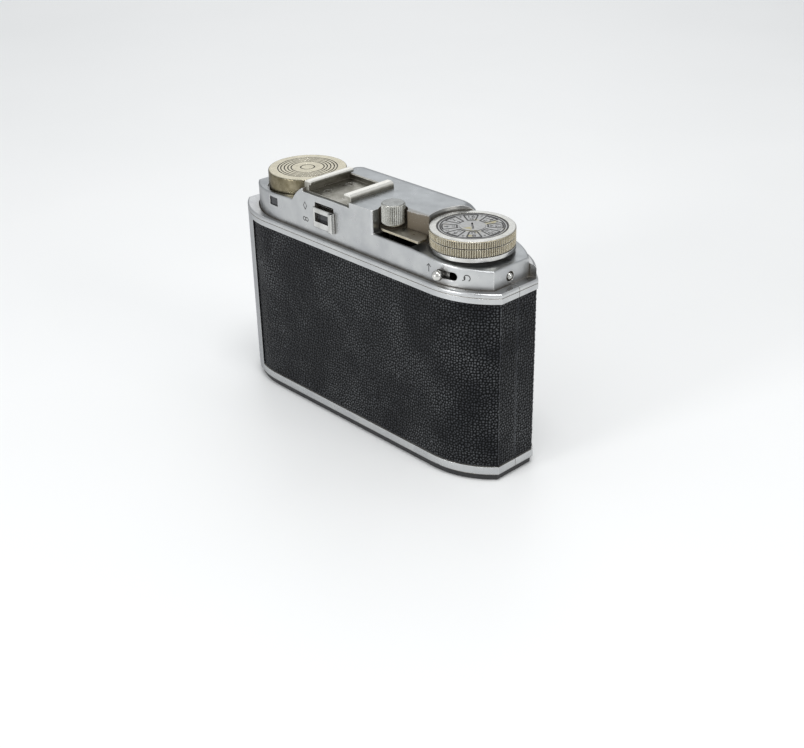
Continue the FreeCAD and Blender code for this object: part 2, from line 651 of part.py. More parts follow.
def make_release_button():
    depth = 0.25
    body = knurled(BUTTON_R, depth, 36, BUTTON, (BUTTON_FOOT + 0.8, BUTTON_TOP - 0.4))
    cap = rod(BUTTON_R - depth, BUTTON, (BUTTON_FOOT, BUTTON_TOP))
    cap = rounded(cap, 0.3, lambda c: near(c.z, BUTTON_TOP))
    cap = rounded(cap, 0.7, lambda c: near(c.z, BUTTON_FOOT))
    stem = rod(1.5, BUTTON, (65.5, BUTTON_FOOT))
    return fuse(body, cap, stem)


def make_release_arm():
    pad = rod(4.2, BUTTON, ARM_Z)
    arm = fuse(pad, box((-31.0, BUTTON[0]), (7.9, 13.5), ARM_Z))
    arm = arm.cut(rod(KNOB_R + 0.7, ADVANCE, (0, BIG)))
    return arm.cut(rod(1.5, BUTTON, (0, BIG)))


def make_door_latch():
    return box((-LATCH_HALF, LATCH_HALF), (-HALF_DEPTH - 0.9, WALL - HALF_DEPTH - 1.0), LATCH_Z)


# ---- winding and rewinding ----------------------------------------------
def make_advance_knob():
    tiers = [knurled(KNOB_R, 0.28, KNURLS, ADVANCE, z) for z in ((KNOB_BOTTOM, 75.7), (76.0, KNURL_TOP))]
    core = rod(KNOB_R - 0.45, ADVANCE, (KNOB_BOTTOM, KNURL_TOP))
    bezel = rounded(rod(KNOB_R, ADVANCE, (KNURL_TOP, KNOB_TOP)), 0.35, lambda c: near(c.z, KNOB_TOP))
    knob = fuse(core, bezel, *tiers)
    knob = knob.cut(rod(DIAL_R + 0.05, ADVANCE, (KNOB_TOP - 0.5, BIG)))
    return knob.cut(rod(SHAFT_R, ADVANCE, (0, KNOB_TOP - 2)))


def make_depth_dial():
    dial = rod(DIAL_R, ADVANCE, (KNOB_TOP - 0.5, KNOB_TOP - 0.1))
    return dial.cut(rod(DIAL_SCREW_R + FIT, ADVANCE, (0, BIG)))


def make_dial_screw():
    disc = rod(DIAL_SCREW_R, ADVANCE, (KNOB_TOP - 0.5, KNOB_TOP - 0.02))
    slot = box((-2.5, 2.5), (-0.28, 0.28), (KNOB_TOP - 0.3, BIG))
    slot.rotate(V(0, 0, 0), Z_UP, -43)
    slot.translate(V(*ADVANCE, 0))
    return disc.cut(slot)


def make_frame_counter_ring():
    return tube(13.2, SHAFT_R + FIT, ADVANCE, (RING_SEAT + 0.2, KNOB_BOTTOM - 0.25))


def make_advance_bush():
    return tube(BUSH_R, SHAFT_R + FIT, ADVANCE, (DECK_HIGH[0] - 0.4, LOW_RIGHT - 4.0))


def make_advance_shaft():
    return rod(SHAFT_R, ADVANCE, (SPOOL_TOP, KNOB_TOP - 2))


def make_take_up_spool():
    core = rod(5.5, ADVANCE, (SPOOL_BOTTOM, SPOOL_TOP))
    flanges = [rod(9.0, ADVANCE, z) for z in ((SPOOL_BOTTOM, SPOOL_BOTTOM + 1), (SPOOL_TOP - 1, SPOOL_TOP))]
    pin = rod(SPOOL_PIN_R, ADVANCE, (DECK_LOW[1] - AXLE_SINK + 0.1, SPOOL_BOTTOM))
    spool = fuse(core, pin, *flanges)
    slit = box((ADVANCE[0] - 6, ADVANCE[0] - 1.5), (-0.6, 0.6), (14.0, 52.4))
    return spool.cut(slit)


def make_sprocket():
    """Two toothed drums on one axle; eight teeth each, at film perforation spacing."""
    drums = []
    for low in (LENS_Z - 16.5, LENS_Z + 12.5):
        drum = rod(5.6, SPROCKET, (low, low + 4))
        teeth = []
        for step in range(8):
            tooth = box((SPROCKET[0] + 5.2, SPROCKET[0] + 6.0), (SPROCKET[1] - 0.6, SPROCKET[1] + 0.6),
                        (low + 1.2, low + 2.8))
            teeth.append(tooth.rotate(V(*SPROCKET, 0), Z_UP, 45 * step))
        drums.append(fuse(drum, *teeth))
    axle = rod(SPROCKET_PIN_R, SPROCKET, (DECK_LOW[1] - AXLE_SINK + 0.1, DECK_HIGH[0] + AXLE_SINK))
    barrel = rod(4.2, SPROCKET, (LENS_Z - 16.5, LENS_Z + 16.5))
    return fuse(axle, barrel, *drums)


def make_rewind_knob():
    knob = rod(REWIND_R, REWIND, (REWIND_BOTTOM, REWIND_TOP))
    knob = rounded(knob, 0.5, lambda c: near(c.z, REWIND_TOP))
    for radius in (*REWIND_GROOVES, 2.35):
        groove = tube(radius + GROOVE_HALF, radius - GROOVE_HALF, REWIND, (REWIND_TOP - 0.35, BIG))
        knob = knob.cut(groove)
    return knob.cut(rod(REWIND_SHAFT_R, REWIND, (0, REWIND_TOP - 2)))


def make_rewind_shaft():
    shaft = rod(REWIND_SHAFT_R, REWIND, (52.0, REWIND_TOP - 2))
    fork = box((REWIND[0] - 2.6, REWIND[0] + 2.6), (-0.6, 0.6), (49.5, 54.0))
    notch = box((REWIND[0] - 1.1, REWIND[0] + 1.1), (-0.6, 0.6), (49.5, 51.5))
    return fuse(shaft, fork).cut(notch)


def make_rewind_sleeve():
    return tube(SLEEVE_R, REWIND_SHAFT_R + FIT, REWIND, (58.5, REWIND_BOTTOM - 0.1))


def make_rewind_bush():
    return tube(BUSH_R, SLEEVE_R + FIT, REWIND, (DECK_HIGH[0] - 0.4, LOW_RIGHT - 4.0))


# ---- back cover fittings ------------------------------------------------
def make_pressure_plate():
    plate = box((-24, 24), (12.9, 13.7), (LENS_Z - 17, LENS_Z + 17))
    return rounded(plate, 0.3, lambda c: c.y > 13.6)


def make_pressure_springs():
    """Two bowed leaf springs between the plate and the cover."""
    plate_y, crown_y, thick = 13.7, HALF_DEPTH - WALL, 0.3
    reach, foot = 13.2, 0.9

    def bow(x, half, crown):
        ends = [V(x, plate_y, LENS_Z + side * half) for side in (-1, 1)]
        return Part.Arc(ends[0], V(x, crown, LENS_Z), ends[1]).toShape()

    springs = []
    for x in (-12.0, 12.0):
        edges = [bow(x, reach, crown_y), bow(x, reach - foot, crown_y - thick)]
        for side in (-1, 1):
            ends = [V(x, plate_y, LENS_Z + side * at) for at in (reach, reach - foot)]
            edges.append(Part.makeLine(*ends))
        face = Part.Face(Part.Wire(Part.__sortEdges__(edges)))
        springs.append(face.extrude(V(4, 0, 0)))
    return group(*springs)


def make_back_catch():
    """Hook on the cover that the release stud frees."""
    wall_x = WALL - HALF_LENGTH
    return box((wall_x, wall_x + 0.8), (1.0, 6.5), (56.0, 61.0))


def make_back_hinge_pin():
    return rod(PIN_R, BACK_PIN, (COVER_KNUCKLES[0][0] - 0.4, COVER_KNUCKLES[1][1] + 0.4))


# ---- front door and lens ------------------------------------------------
def door_lugs():
    """Front shell's hinge barrels, each with a web back to the shell."""
    y, z = DOOR_PIN
    lugs = []
    for span in LUG_SPANS:
        lugs.append(x_rod(KNUCKLE_R, span, y, z))
        lugs.append(box(span, (y, 1.0 - HALF_DEPTH), (z - KNUCKLE_R, z)))
    return lugs


def make_front_door():
    pan = box((-DOOR_HALF, DOOR_HALF), DOOR_Y, DOOR_Z)
    rim_y, rim = (DOOR_Y[1], -HALF_DEPTH - CLEAR), 1.1
    rims = [box((-DOOR_HALF, -DOOR_HALF + rim), rim_y, DOOR_Z),
            box((DOOR_HALF - rim, DOOR_HALF), rim_y, DOOR_Z),
            box((-DOOR_HALF, DOOR_HALF), rim_y, (DOOR_Z[1] - rim, DOOR_Z[1]))]
    y, z = DOOR_PIN
    knuckles = []
    for span in DOOR_KNUCKLES:
        knuckles.append(x_rod(KNUCKLE_R, span, y, z))
        knuckles.append(box(span, (DOOR_Y[0] + 0.3, y - PIN_R), (z, DOOR_Z[0] + 1)))
    door = fuse(pan, *rims, *knuckles)
    return door.cut(x_rod(PIN_R + FIT, (-BIG, BIG), y, z))


def make_door_leather():
    leather_y = (DOOR_Y[0] - 0.6, DOOR_Y[0])
    return box((-DOOR_HALF + 0.8, DOOR_HALF - 0.8), leather_y, (DOOR_Z[0] + 0.8, DOOR_Z[1] - 0.8))


def make_door_hinge_pin():
    return x_rod(PIN_R, (LUG_SPANS[0][0], LUG_SPANS[-1][1]), *DOOR_PIN)


def make_door_stays():
    """Curved stays on the door that swing out of the bay beside the lens."""
    y, z = DOOR_PIN
    stays = []
    for side in (-1, 1):
        x = tuple(sorted((side * STAY_X[0], side * STAY_X[1])))
        ring = x_rod(STAY_R[0], x, y, z).cut(x_rod(STAY_R[1], x, y, z))
        ring = ring.common(box(x, (DOOR_Y[1], 0), (z + 2.0, BIG)))
        tab = box(x, (DOOR_Y[1], DOOR_Y[1] + 2.0), (z + 9.0, z + STAY_R[0]))
        stays.append(fuse(ring, tab))
    return group(*stays)


def make_lens_struts():
    y, z = STRUT_PIN
    struts = []
    for side in (-1, 1):
        x = tuple(sorted((side * STAY_X[0], side * STAY_X[1])))
        bar = box(x, (y - STRUT_HALF, y + STRUT_HALF), (z - STRUT_LONG, z))
        bar = fuse(bar, x_rod(STRUT_HALF, x, y, z), x_rod(STRUT_HALF, x, y, z - STRUT_LONG))
        bar = bar.rotate(V(0, y, z), V(1, 0, 0), STRUT_TURN)
        pivot_x = tuple(sorted((side * STAY_X[1], side * (BAY_X - 0.1))))
        struts.append(fuse(bar, x_rod(1.0, pivot_x, y, z)))
    return group(*struts)


def make_lens_standard():
    plate = box((-18.6, 18.6), STANDARD_Y, (12.6, 52.0))
    plate = rounded(plate, 5.0, lambda c: abs(c.x) > 18 and (near(c.z, 12.6) or near(c.z, 52.0)))
    foot = box((-11, 11), (STANDARD_Y[0] - 7, STANDARD_Y[1]), (12.6, 13.6))
    standard = fuse(plate, foot)
    return standard.cut(lens_rod(12.0, (-20, 5)))


def make_shutter_housing():
    case = lens_rod(SHUTTER_R, SHUTTER_Y)
    case = rounded(case, 0.8, lambda c: near(c.y, SHUTTER_Y[0]))
    hollow = lens_rod(SHUTTER_R - 1.4, (SHUTTER_Y[0] + 1.2, SHUTTER_Y[1] - 1.2))
    core = lens_rod(BARREL_R + 1.2, SHUTTER_Y)
    return fuse(case.cut(hollow), core).cut(lens_rod(BARREL_R, (-30, 5)))


def make_lens_barrel():
    barrel = lens_tube(BARREL_R, 9.4, (-17.6, -4.0))
    for low in (-9.6, -7.2):
        barrel = barrel.cut(lens_rod(10.4, (low, low + 1.0)))
    return barrel


def blades(count, radius, hole, y, turn):
    """Thin leaves round the optical axis, side by side without overlap."""
    leaves = []
    disc = lens_tube(radius, hole, y)
    for step in range(count):
        start = turn + step * 360 / count
        loop = [V(0, y[0], LENS_Z)]
        for angle in (start, start + 180 / count, start + 358 / count):
            a = math.radians(angle)
            loop.append(V(BIG * math.cos(a), y[0], LENS_Z + BIG * math.sin(a)))
        wedge = Part.Face(Part.makePolygon(loop + loop[:1])).extrude(V(0, y[1] - y[0], 0))
        leaves.append(disc.common(wedge))
    return group(*leaves)


def make_shutter_blades():
    return blades(3, 10.3, 0.4, (-9.3, -8.9), 10)


def make_aperture_blades():
    return blades(7, 10.3, 4.5, (-6.9, -6.5), 0)


def make_rear_lens_cell():
    return lens_tube(BARREL_R, 7.0, (-4.0, 1.0))


def make_rear_lens_glass():
    return lens_rod(7.0, (-1.6, 0.4))


def knurled_ring(outer, inner, count, y):
    ring = knurled(outer, 0.3, count, (0, 0), (0, y[1] - y[0]))
    ring = ring.rotate(V(0, 0, 0), V(1, 0, 0), 90)
    ring = ring.translate(V(0, y[1], LENS_Z))
    return ring.cut(lens_rod(inner, y))


def make_speed_ring():
    return knurled_ring(SHUTTER_R, 15.6, 80, (-14.4, SHUTTER_Y[0] - 0.1))


def make_shutter_face_plate():
    return lens_tube(15.5, BARREL_R, (-14.6, SHUTTER_Y[0]))


def make_aperture_ring():
    ring = lens_tube(14.4, BARREL_R + FIT, (-15.4, -14.7))
    tab = box((-1.0, 1.0), (-15.4, -14.7), (LENS_Z - 17.2, LENS_Z - 13.5))
    return fuse(ring, tab)


def make_focus_ring():
    ring = knurled_ring(13.6, BARREL_R + FIT, 60, (-18.2, -15.5))
    face = lens_tube(13.0, 8.45, (-19.0, -18.2))
    return fuse(ring, face)


def make_front_lens_glass():
    flat = lens_rod(8.4, (-18.6, -16.8))
    ball = Part.makeSphere(22.0, V(0, -18.9 + 22.0, LENS_Z))
    return flat.common(ball)


def make_cocking_lever():
    pivot = (16.2, LENS_Z + 8.0)
    hub = lens_rod(1.6, (-15.4, -14.7), *pivot)
    arm = box((pivot[0] - 0.8, pivot[0] + 0.8), (-15.4, -14.7), (pivot[1], pivot[1] + 6.0))
    return fuse(hub, arm)


def make_bellows():
    """Pleated square tube between the standard and the film gate."""
    folds = 6
    front, back = STANDARD_Y[1], GATE_Y[0]
    step = (back - front) / folds

    def ring(half_x, half_z, y):
        corners = ((-half_x, -half_z), (half_x, -half_z), (half_x, half_z), (-half_x, half_z))
        loop = [V(x, y, LENS_Z + z) for x, z in corners]
        return Part.makePolygon(loop + loop[:1])

    def stack(shrink):
        rings = []
        for index in range(folds * 2 + 1):
            pinch = 1.6 * (index % 2) + shrink
            rings.append(ring(18.9 - pinch, 15.4 - pinch, front + step * index / 2))
        return Part.makeLoft(rings, True, True)

    return stack(0).cut(stack(0.4))


MAKERS = {
    "top_deck": make_top_deck, "bottom_deck": make_bottom_deck, "film_frame": make_film_frame,
    "film_chambers": make_film_chambers,
    "front_shell": make_front_shell, "front_leather": make_front_leather,
    "base_plate": make_base_plate, "tripod_bush": make_tripod_bush, "base_screws": make_base_screws,
    "top_housing": make_top_housing, "accessory_shoe": make_accessory_shoe, "shoe_screws": make_shoe_screws,
    "front_windows": make_front_windows, "rangefinder_eyepiece": make_rangefinder_eyepiece,
    "rangefinder_mirrors": make_rangefinder_mirrors, "viewfinder_front_lens": make_viewfinder_front_lens,
    "viewfinder_slide": make_viewfinder_slide, "viewfinder_eyepiece": make_viewfinder_eyepiece,
    "rewind_selector": make_rewind_selector, "back_release_button": make_back_release_button,
    "release_button": make_release_button, "release_arm": make_release_arm, "door_latch": make_door_latch,
    "advance_knob": make_advance_knob, "depth_dial": make_depth_dial, "dial_screw": make_dial_screw,
    "frame_counter_ring": make_frame_counter_ring, "advance_bush": make_advance_bush,
    "advance_shaft": make_advance_shaft, "take_up_spool": make_take_up_spool, "sprocket": make_sprocket,
    "rewind_knob": make_rewind_knob, "rewind_shaft": make_rewind_shaft, "rewind_sleeve": make_rewind_sleeve,
    "rewind_bush": make_rewind_bush, "back_cover": make_back_cover, "back_leather": make_back_leather,
    "pressure_plate": make_pressure_plate, "pressure_springs": make_pressure_springs,
    "back_catch": make_back_catch, "back_hinge_pin": make_back_hinge_pin, "front_door": make_front_door,
    "door_leather": make_door_leather, "door_hinge_pin": make_door_hinge_pin, "door_stays": make_door_stays,
    "lens_struts": make_lens_struts, "lens_standard": make_lens_standard,
    "shutter_housing": make_shutter_housing, "lens_barrel": make_lens_barrel,
    "shutter_blades": make_shutter_blades, "aperture_blades": make_aperture_blades,
    "rear_lens_cell": make_rear_lens_cell, "rear_lens_glass": make_rear_lens_glass,
    "speed_ring": make_speed_ring, "shutter_face_plate": make_shutter_face_plate,
    "aperture_ring": make_aperture_ring, "focus_ring": make_focus_ring,
    "front_lens_glass": make_front_lens_glass,
    "cocking_lever": make_cocking_lever, "bellows": make_bellows,
}


def main():
    os.makedirs("parts", exist_ok=True)
    for node, make in MAKERS.items():
        shape = make()
        shape.exportStep("parts/" + node + ".step")
        bounds = shape.BoundBox
        sizes = [round(value, 1) for value in (bounds.XLength, bounds.YLength, bounds.ZLength)]
        print(node, "valid" if shape.isValid() else "INVALID", len(shape.Solids), "solids", sizes)


main()
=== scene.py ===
import json
import math

import bpy
import numpy as np
from mathutils import Matrix, Vector


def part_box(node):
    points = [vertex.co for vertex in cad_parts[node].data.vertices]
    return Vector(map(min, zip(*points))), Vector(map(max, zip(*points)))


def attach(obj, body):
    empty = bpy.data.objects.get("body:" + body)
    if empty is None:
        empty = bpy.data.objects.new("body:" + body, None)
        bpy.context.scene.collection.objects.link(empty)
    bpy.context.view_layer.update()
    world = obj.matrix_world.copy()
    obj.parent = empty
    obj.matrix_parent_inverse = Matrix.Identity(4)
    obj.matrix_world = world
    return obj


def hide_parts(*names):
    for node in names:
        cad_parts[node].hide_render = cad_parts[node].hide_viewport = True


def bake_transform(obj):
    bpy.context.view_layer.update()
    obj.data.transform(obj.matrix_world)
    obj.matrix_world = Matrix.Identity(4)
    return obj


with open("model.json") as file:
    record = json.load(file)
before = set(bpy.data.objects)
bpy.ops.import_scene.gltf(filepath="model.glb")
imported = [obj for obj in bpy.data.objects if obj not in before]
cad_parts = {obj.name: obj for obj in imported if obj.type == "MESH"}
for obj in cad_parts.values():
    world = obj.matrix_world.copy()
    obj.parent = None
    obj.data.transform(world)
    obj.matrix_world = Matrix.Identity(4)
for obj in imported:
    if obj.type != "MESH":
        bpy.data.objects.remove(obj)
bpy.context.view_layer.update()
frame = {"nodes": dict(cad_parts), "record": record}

MM = 0.001
PAPER = 0.02 * MM           # how far an inked mark stands off its surface

# The camera body's and the top housing's outlines, as in the CAD model:
# half length, where the flat face ends, half width of the flat end, half depth.
BODY_OUTLINE = (60.4 * MM, 39.7 * MM, 8.0 * MM, 17.2 * MM)
HOUSING_OUTLINE = (56.8 * MM, 38.0 * MM, 7.7 * MM, 15.2 * MM)
LEATHER_SINK = 0.3 * MM     # leather face below the rims
PAINT_TOP = 63.0            # z up to which the shells' inner faces are painted, millimetres
RAIL_TOPS = 81.0            # z above which the accessory shoe is painted bright, as rubbed metal and as a painted highlight, millimetres
RELEASE_POCKET = ((-36.0, -11.0), (5.0, 8.8), (71.0, 80.2))     # x, y and z ranges of the space that metal() darkens with speckles, millimetres


# ---- camera, lights and stage --------------------------------------------
FLOOR_RADIUS = 4.0
FLOOR_GAP = 0.05 * MM       # keeps the floor from lying in the base's own face


def make_camera():
    """Seen from behind and above the advance end. Angles in degrees, the roll about the line of sight."""
    target = Vector((0.6, -8.2, 9.6)) * MM
    distance = 0.4481
    azimuth, elevation, roll = (math.radians(a) for a in (227.07, 27.85, -1.25))
    back = Vector((math.sin(azimuth) * math.cos(elevation),
                   -math.cos(azimuth) * math.cos(elevation), math.sin(elevation)))
    right = Vector((math.cos(azimuth), math.sin(azimuth), 0.0))
    turn = Matrix.Rotation(roll, 3, back)
    right = turn @ right
    up = back.cross(right)
    camera = bpy.data.objects.new("camera", bpy.data.cameras.new("camera"))
    camera.data.lens = 57.35
    camera.data.clip_start = 0.005
    camera.matrix_world = Matrix((
        (right.x, up.x, back.x, target.x + back.x * distance),
        (right.y, up.y, back.y, target.y + back.y * distance),
        (right.z, up.z, back.z, target.z + back.z * distance),
        (0, 0, 0, 1)))
    bpy.context.scene.collection.objects.link(camera)
    bpy.context.scene.camera = camera


def make_light(name, place, size, power, colour=(1, 1, 1)):
    """Square soft light that points at the middle of the camera body."""
    light = bpy.data.lights.new(name, "AREA")
    light.shape = "SQUARE"
    light.size = size
    light.energy = power
    light.color = colour
    lamp = bpy.data.objects.new(name, light)
    lamp.location = place
    lamp.rotation_euler = (Vector(place) - Vector((0, 0, 0.04))).to_track_quat("Z", "Y").to_euler()
    bpy.context.scene.collection.objects.link(lamp)


def make_stage():
    scene = bpy.context.scene
    scene.view_settings.view_transform = "Standard"
    world = bpy.data.worlds.new("studio")
    world.use_nodes = True
    scene.world = world
    background = world.node_tree.nodes["Background"]
    background.inputs["Color"].default_value = (0.97, 0.985, 1.0, 1)
    background.inputs["Strength"].default_value = 0.66
    make_light("overhead", (-0.2, 0.1, 0.85), 0.35, 2.5)
    make_light("back_key", (0.10, 0.90, 0.34), 0.22, 2.6)
    make_light("front_box", (0.75, -0.70, 0.54), 0.6, 0.95)
    make_light("right_box", (-0.8, -0.1, 0.45), 0.3, 1.2, (1.0, 0.98, 0.95))
    corners = [(*point, -FLOOR_GAP) for point in arc_points(FLOOR_RADIUS, 0, 360, steps=64)[:-1]]
    floor = mesh_object("floor", corners, [tuple(range(len(corners)))], "pale_floor")


# ---- materials ------------------------------------------------------------
class Look:
    """One procedural material. Inputs are sockets to link, or plain values."""

    def __init__(self, name, **settings):
        self.material = bpy.data.materials.new(name)
        self.material.use_nodes = True
        self.tree = self.material.node_tree
        self.surface = self.tree.nodes["Principled BSDF"]
        coordinates = self.tree.nodes.new("ShaderNodeTexCoord")
        self.place = coordinates.outputs["Object"]
        self.facing = coordinates.outputs["Normal"]
        for key, value in settings.items():
            self.surface.inputs[key.replace("_", " ")].default_value = value

    def feed(self, socket, value):
        if isinstance(value, bpy.types.NodeSocket):
            self.tree.links.new(value, socket)
        else:
            socket.default_value = value

    def put(self, kind, inputs, **settings):
        node = self.tree.nodes.new("ShaderNode" + kind)
        for key, value in settings.items():
            setattr(node, key, value)
        for key, value in inputs.items():
            self.feed(node.inputs[key], value)
        return node

    def stretched(self, scale):
        return self.put("VectorMath", {0: self.place, 1: scale}, operation="MULTIPLY").outputs[0]

    def noise(self, size, detail=2.0, stretch=(1, 1, 1)):
        """Smooth noise whose spots are about `size` millimetres, drawn out by `stretch`."""
        inputs = {"Vector": self.stretched([1 / s for s in stretch]), "Scale": 1 / (size * MM),
                  "Detail": detail}
        return self.put("TexNoise", inputs).outputs["Fac"]

    def cells(self, size):
        """Soft-edged cells about `size` millimetres wide."""
        inputs = {"Vector": self.place, "Scale": 1 / (size * MM)}
        return self.put("TexVoronoi", inputs, feature="SMOOTH_F1").outputs["Distance"]

    def spread(self, value, low, high, start=0.0, end=1.0):
        """Goes from `start` to `end` while the value goes from `low` to `high`."""
        inputs = {0: value, 1: low, 2: high, 3: start, 4: end}
        return self.put("MapRange", inputs).outputs[0]

    def math(self, operation, a, b=0.0):
        return self.put("Math", {0: a, 1: b}, operation=operation).outputs[0]

    def mix(self, factor, a, b):
        """Colour a where the factor is 0, colour b where it is 1."""
        inputs = {0: factor, 6: colour(a), 7: colour(b)}
        return self.put("Mix", inputs, data_type="RGBA").outputs[2]

    def lathe_marks(self, node, pitch):
        """Rings about a node's upright axis, `pitch` millimetres apart."""
        low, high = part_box(node)
        centred = self.put("VectorMath", {0: self.place, 1: (low + high) / 2}, operation="SUBTRACT")
        rings_in_one_unit = 20 / math.tau
        scale = 1 / (pitch * MM * rings_in_one_unit)
        inputs = {"Vector": centred.outputs[0], "Scale": scale, "Distortion": 1.5, "Detail": 2.0}
        return self.put("TexWave", inputs, wave_type="RINGS", rings_direction="Z").outputs["Fac"]

    def raised(self):
        """1 on raised grain and 0 in the hollows of a finely divided mesh. Flat is 0.5."""
        return self.spread(self.put("NewGeometry", {}).outputs["Pointiness"], 0.496, 0.536)

    def dirt(self, reach, start, left, darkened):
        """Speckled soiling and painted shade in corners, of which a share `left` stays, and speckled
        darkening all through `darkened`.
        """
        speckle = self.spread(self.noise(0.5, 3.0), 0.3, 0.7, 0.55, 1.25)
        # Corners darkened by occlusion: painted shade, with soiling.
        corners = self.spread(self.crevices(reach), start, 2.2 * start)
        dirt = self.math("MINIMUM", self.math("MULTIPLY", corners, speckle), 0.92)
        dirt = self.math("MULTIPLY", dirt, left)
        if darkened:
            darkening = self.math("MULTIPLY", self.math("MULTIPLY", speckle, 1.25), self.within(darkened))
            dirt = self.math("MAXIMUM", dirt, self.math("MINIMUM", darkening, 0.9))
        return dirt

    def within(self, ranges):
        """1 in the middle of a space, given as x, y and z ranges in millimetres, and 0 outside it."""
        share = 1.0
        for axis, (low, high) in zip("XYZ", ranges):
            at = self.part(self.place, axis)
            share = self.math("MULTIPLY", share, self.spread(at, low * MM, (low + 1) * MM))
            share = self.math("MULTIPLY", share, self.spread(at, high * MM, (high - 1) * MM))
        return share

    def inner_faces(self):
        """1 on faces below PAINT_TOP that look at the middle of the body."""
        outward = self.put("VectorMath", {0: self.facing, 1: self.place}, operation="DOT_PRODUCT")
        inner = self.spread(outward.outputs["Value"], 0.0, -0.4 * MM)
        height = self.part(self.place, "Z")
        low = self.spread(height, (PAINT_TOP + 0.3) * MM, PAINT_TOP * MM)
        return self.math("MULTIPLY", inner, low)

    def part(self, vector, axis):
        return self.put("SeparateXYZ", {0: vector}).outputs[axis]

    def crevices(self, reach):
        """1 deep in corners and 0 in the open, within `reach` millimetres."""
        node = self.put("AmbientOcclusion", {"Distance": reach * MM}, samples=8)
        return self.math("SUBTRACT", 1.0, node.outputs["AO"])

    def edges(self, reach):
        """1 on convex edges and 0 on flat faces, within `reach` millimetres."""
        soft = self.put("Bevel", {"Radius": reach * MM}, samples=4).outputs[0]
        sharp = self.put("NewGeometry", {}).outputs["Normal"]
        dot = self.put("VectorMath", {0: soft, 1: sharp}, operation="DOT_PRODUCT").outputs["Value"]
        return self.spread(dot, 0.995, 0.85)

    def bump(self, height, distance, strength=1.0, rounding=None):
        inputs = {"Height": height, "Distance": distance * MM, "Strength": strength}
        if rounding:
            inputs["Normal"] = self.put("Bevel", {"Radius": rounding * MM}, samples=4).outputs[0]
        self.feed(self.surface.inputs["Normal"], self.put("Bump", inputs).outputs[0])

    def set(self, key, value):
        self.feed(self.surface.inputs[key], value)


def colour(value):
    return value if isinstance(value, bpy.types.NodeSocket) else (*value, 1.0)


def metal(name, light, dark, rough, grime_and_shade, grime_and_shade_reach=1.4, edge=None, patch=7.0, streak=(1, 1, 1),
          top=None, inside=None, turned_on=None, shaded_and_dirty_from=0.38, kept_on_upward=1.0, edge_width=0.25,
          rounding=0.12, rubbed_and_highlit_above=None, darkened=None):
    """Worn plate: patches of tone, soiling and painted shade in corners, edges painted bright as
    wear and as painted highlights, and fine polishing marks.

    `top` tints upward faces, partly as their own finish and partly as painted light and
    reflection from above; `inside` paints the faces that look at the middle of the body, and
    `turned_on` names the node whose axis the lathe marks go round. Soiling and painted shade
    start where a share `shaded_and_dirty_from` of the surroundings is near metal, and upward
    faces keep a share `kept_on_upward` of it. Metal above the height
    `rubbed_and_highlit_above` is as bright as the edges, as rubbed metal and painted highlight,
    and the space `darkened` is made dark with speckles. Both are in millimetres."""
    look = Look(name, Metallic=1.0, Specular_Tint=(0.55, 0.55, 0.56, 1),
                Anisotropic=0.7 if turned_on else 0.0)
    patches = look.spread(look.noise(patch, 4.0), 0.35, 0.68)
    tone = look.mix(patches, dark, light)
    roughness = look.spread(look.noise(patch * 0.4, 3.0), 0.3, 0.7, rough[1], rough[0])
    upward = look.spread(look.part(look.facing, "Z"), 0.6, 0.8)
    # Upward faces tinted: partly their own finish, partly painted light and reflection from above.
    if top:
        tone = look.mix(upward, tone, look.mix(patches, [0.85 * c for c in top], top))
    # Metal above this height painted bright: rubbed metal and painted highlight.
    if rubbed_and_highlit_above:
        height = look.part(look.place, "Z")
        tone = look.mix(look.spread(height, rubbed_and_highlit_above * MM, (rubbed_and_highlit_above + 0.4) * MM), tone, edge)
    # Convex edges painted bright: wear and painted highlight.
    if edge:
        tone = look.mix(look.edges(edge_width), tone, edge)
    left = look.spread(upward, 0.0, 1.0, 1.0, kept_on_upward)
    # Soiling and painted shade in corners, less of it on upward faces.
    dirt = look.dirt(grime_and_shade_reach, shaded_and_dirty_from, left, darkened)
    # Wide darkening near walls and in corners: painted shade, with some soiling.
    shade_and_dirt_film = look.spread(look.crevices(3 * grime_and_shade_reach), 0.18, 0.62, 0.0, 0.75)
    shade_and_dirt_film = look.math("MULTIPLY", shade_and_dirt_film, left)
    tone = look.mix(shade_and_dirt_film, tone, [0.5 * (c + d) for c, d in zip(grime_and_shade, dark)])
    tone = look.mix(dirt, tone, grime_and_shade)
    if inside:
        painted = look.inner_faces()
        tone = look.mix(painted, tone, inside)
        roughness = look.spread(painted, 0.0, 1.0, roughness, 0.5)
        dirt = look.math("MAXIMUM", dirt, painted)
    look.set("Base Color", tone)
    look.set("Roughness", look.math("ADD", roughness, look.math("MULTIPLY", dirt, 0.25)))
    look.set("Metallic", look.math("SUBTRACT", 1.0, dirt))
    marks = look.noise(0.25, 3.0, streak)
    if turned_on:
        marks = look.math("ADD", marks, look.lathe_marks(turned_on, 0.3))
        look.set("Tangent", look.put("Tangent", {}, direction_type="RADIAL", axis="Z").outputs[0])
    look.bump(marks, 0.006, 0.6, rounding=rounding)
    return look.material


def satin_chrome():
    return metal("satin_chrome", (0.59, 0.60, 0.60), (0.52, 0.53, 0.54), (0.24, 0.36), (0.15, 0.12, 0.08),
                 grime_and_shade_reach=2.2, edge=(0.84, 0.84, 0.82), streak=(9, 9, 1), inside=(0.012, 0.012, 0.013))


def housing_chrome():
    # Top tinted darker and bluer than the walls as painted reflection, edges painted bright as highlight
    # and wear, corners darkened widely as painted shade with soiling.
    return metal("housing_chrome", (0.57, 0.58, 0.58), (0.47, 0.48, 0.49), (0.26, 0.38), (0.13, 0.10, 0.06),
                 grime_and_shade_reach=2.4, edge=(0.90, 0.90, 0.88), streak=(9, 9, 1), top=(0.45, 0.47, 0.48),
                 kept_on_upward=0.25, edge_width=0.4, rounding=0.35, darkened=RELEASE_POCKET)


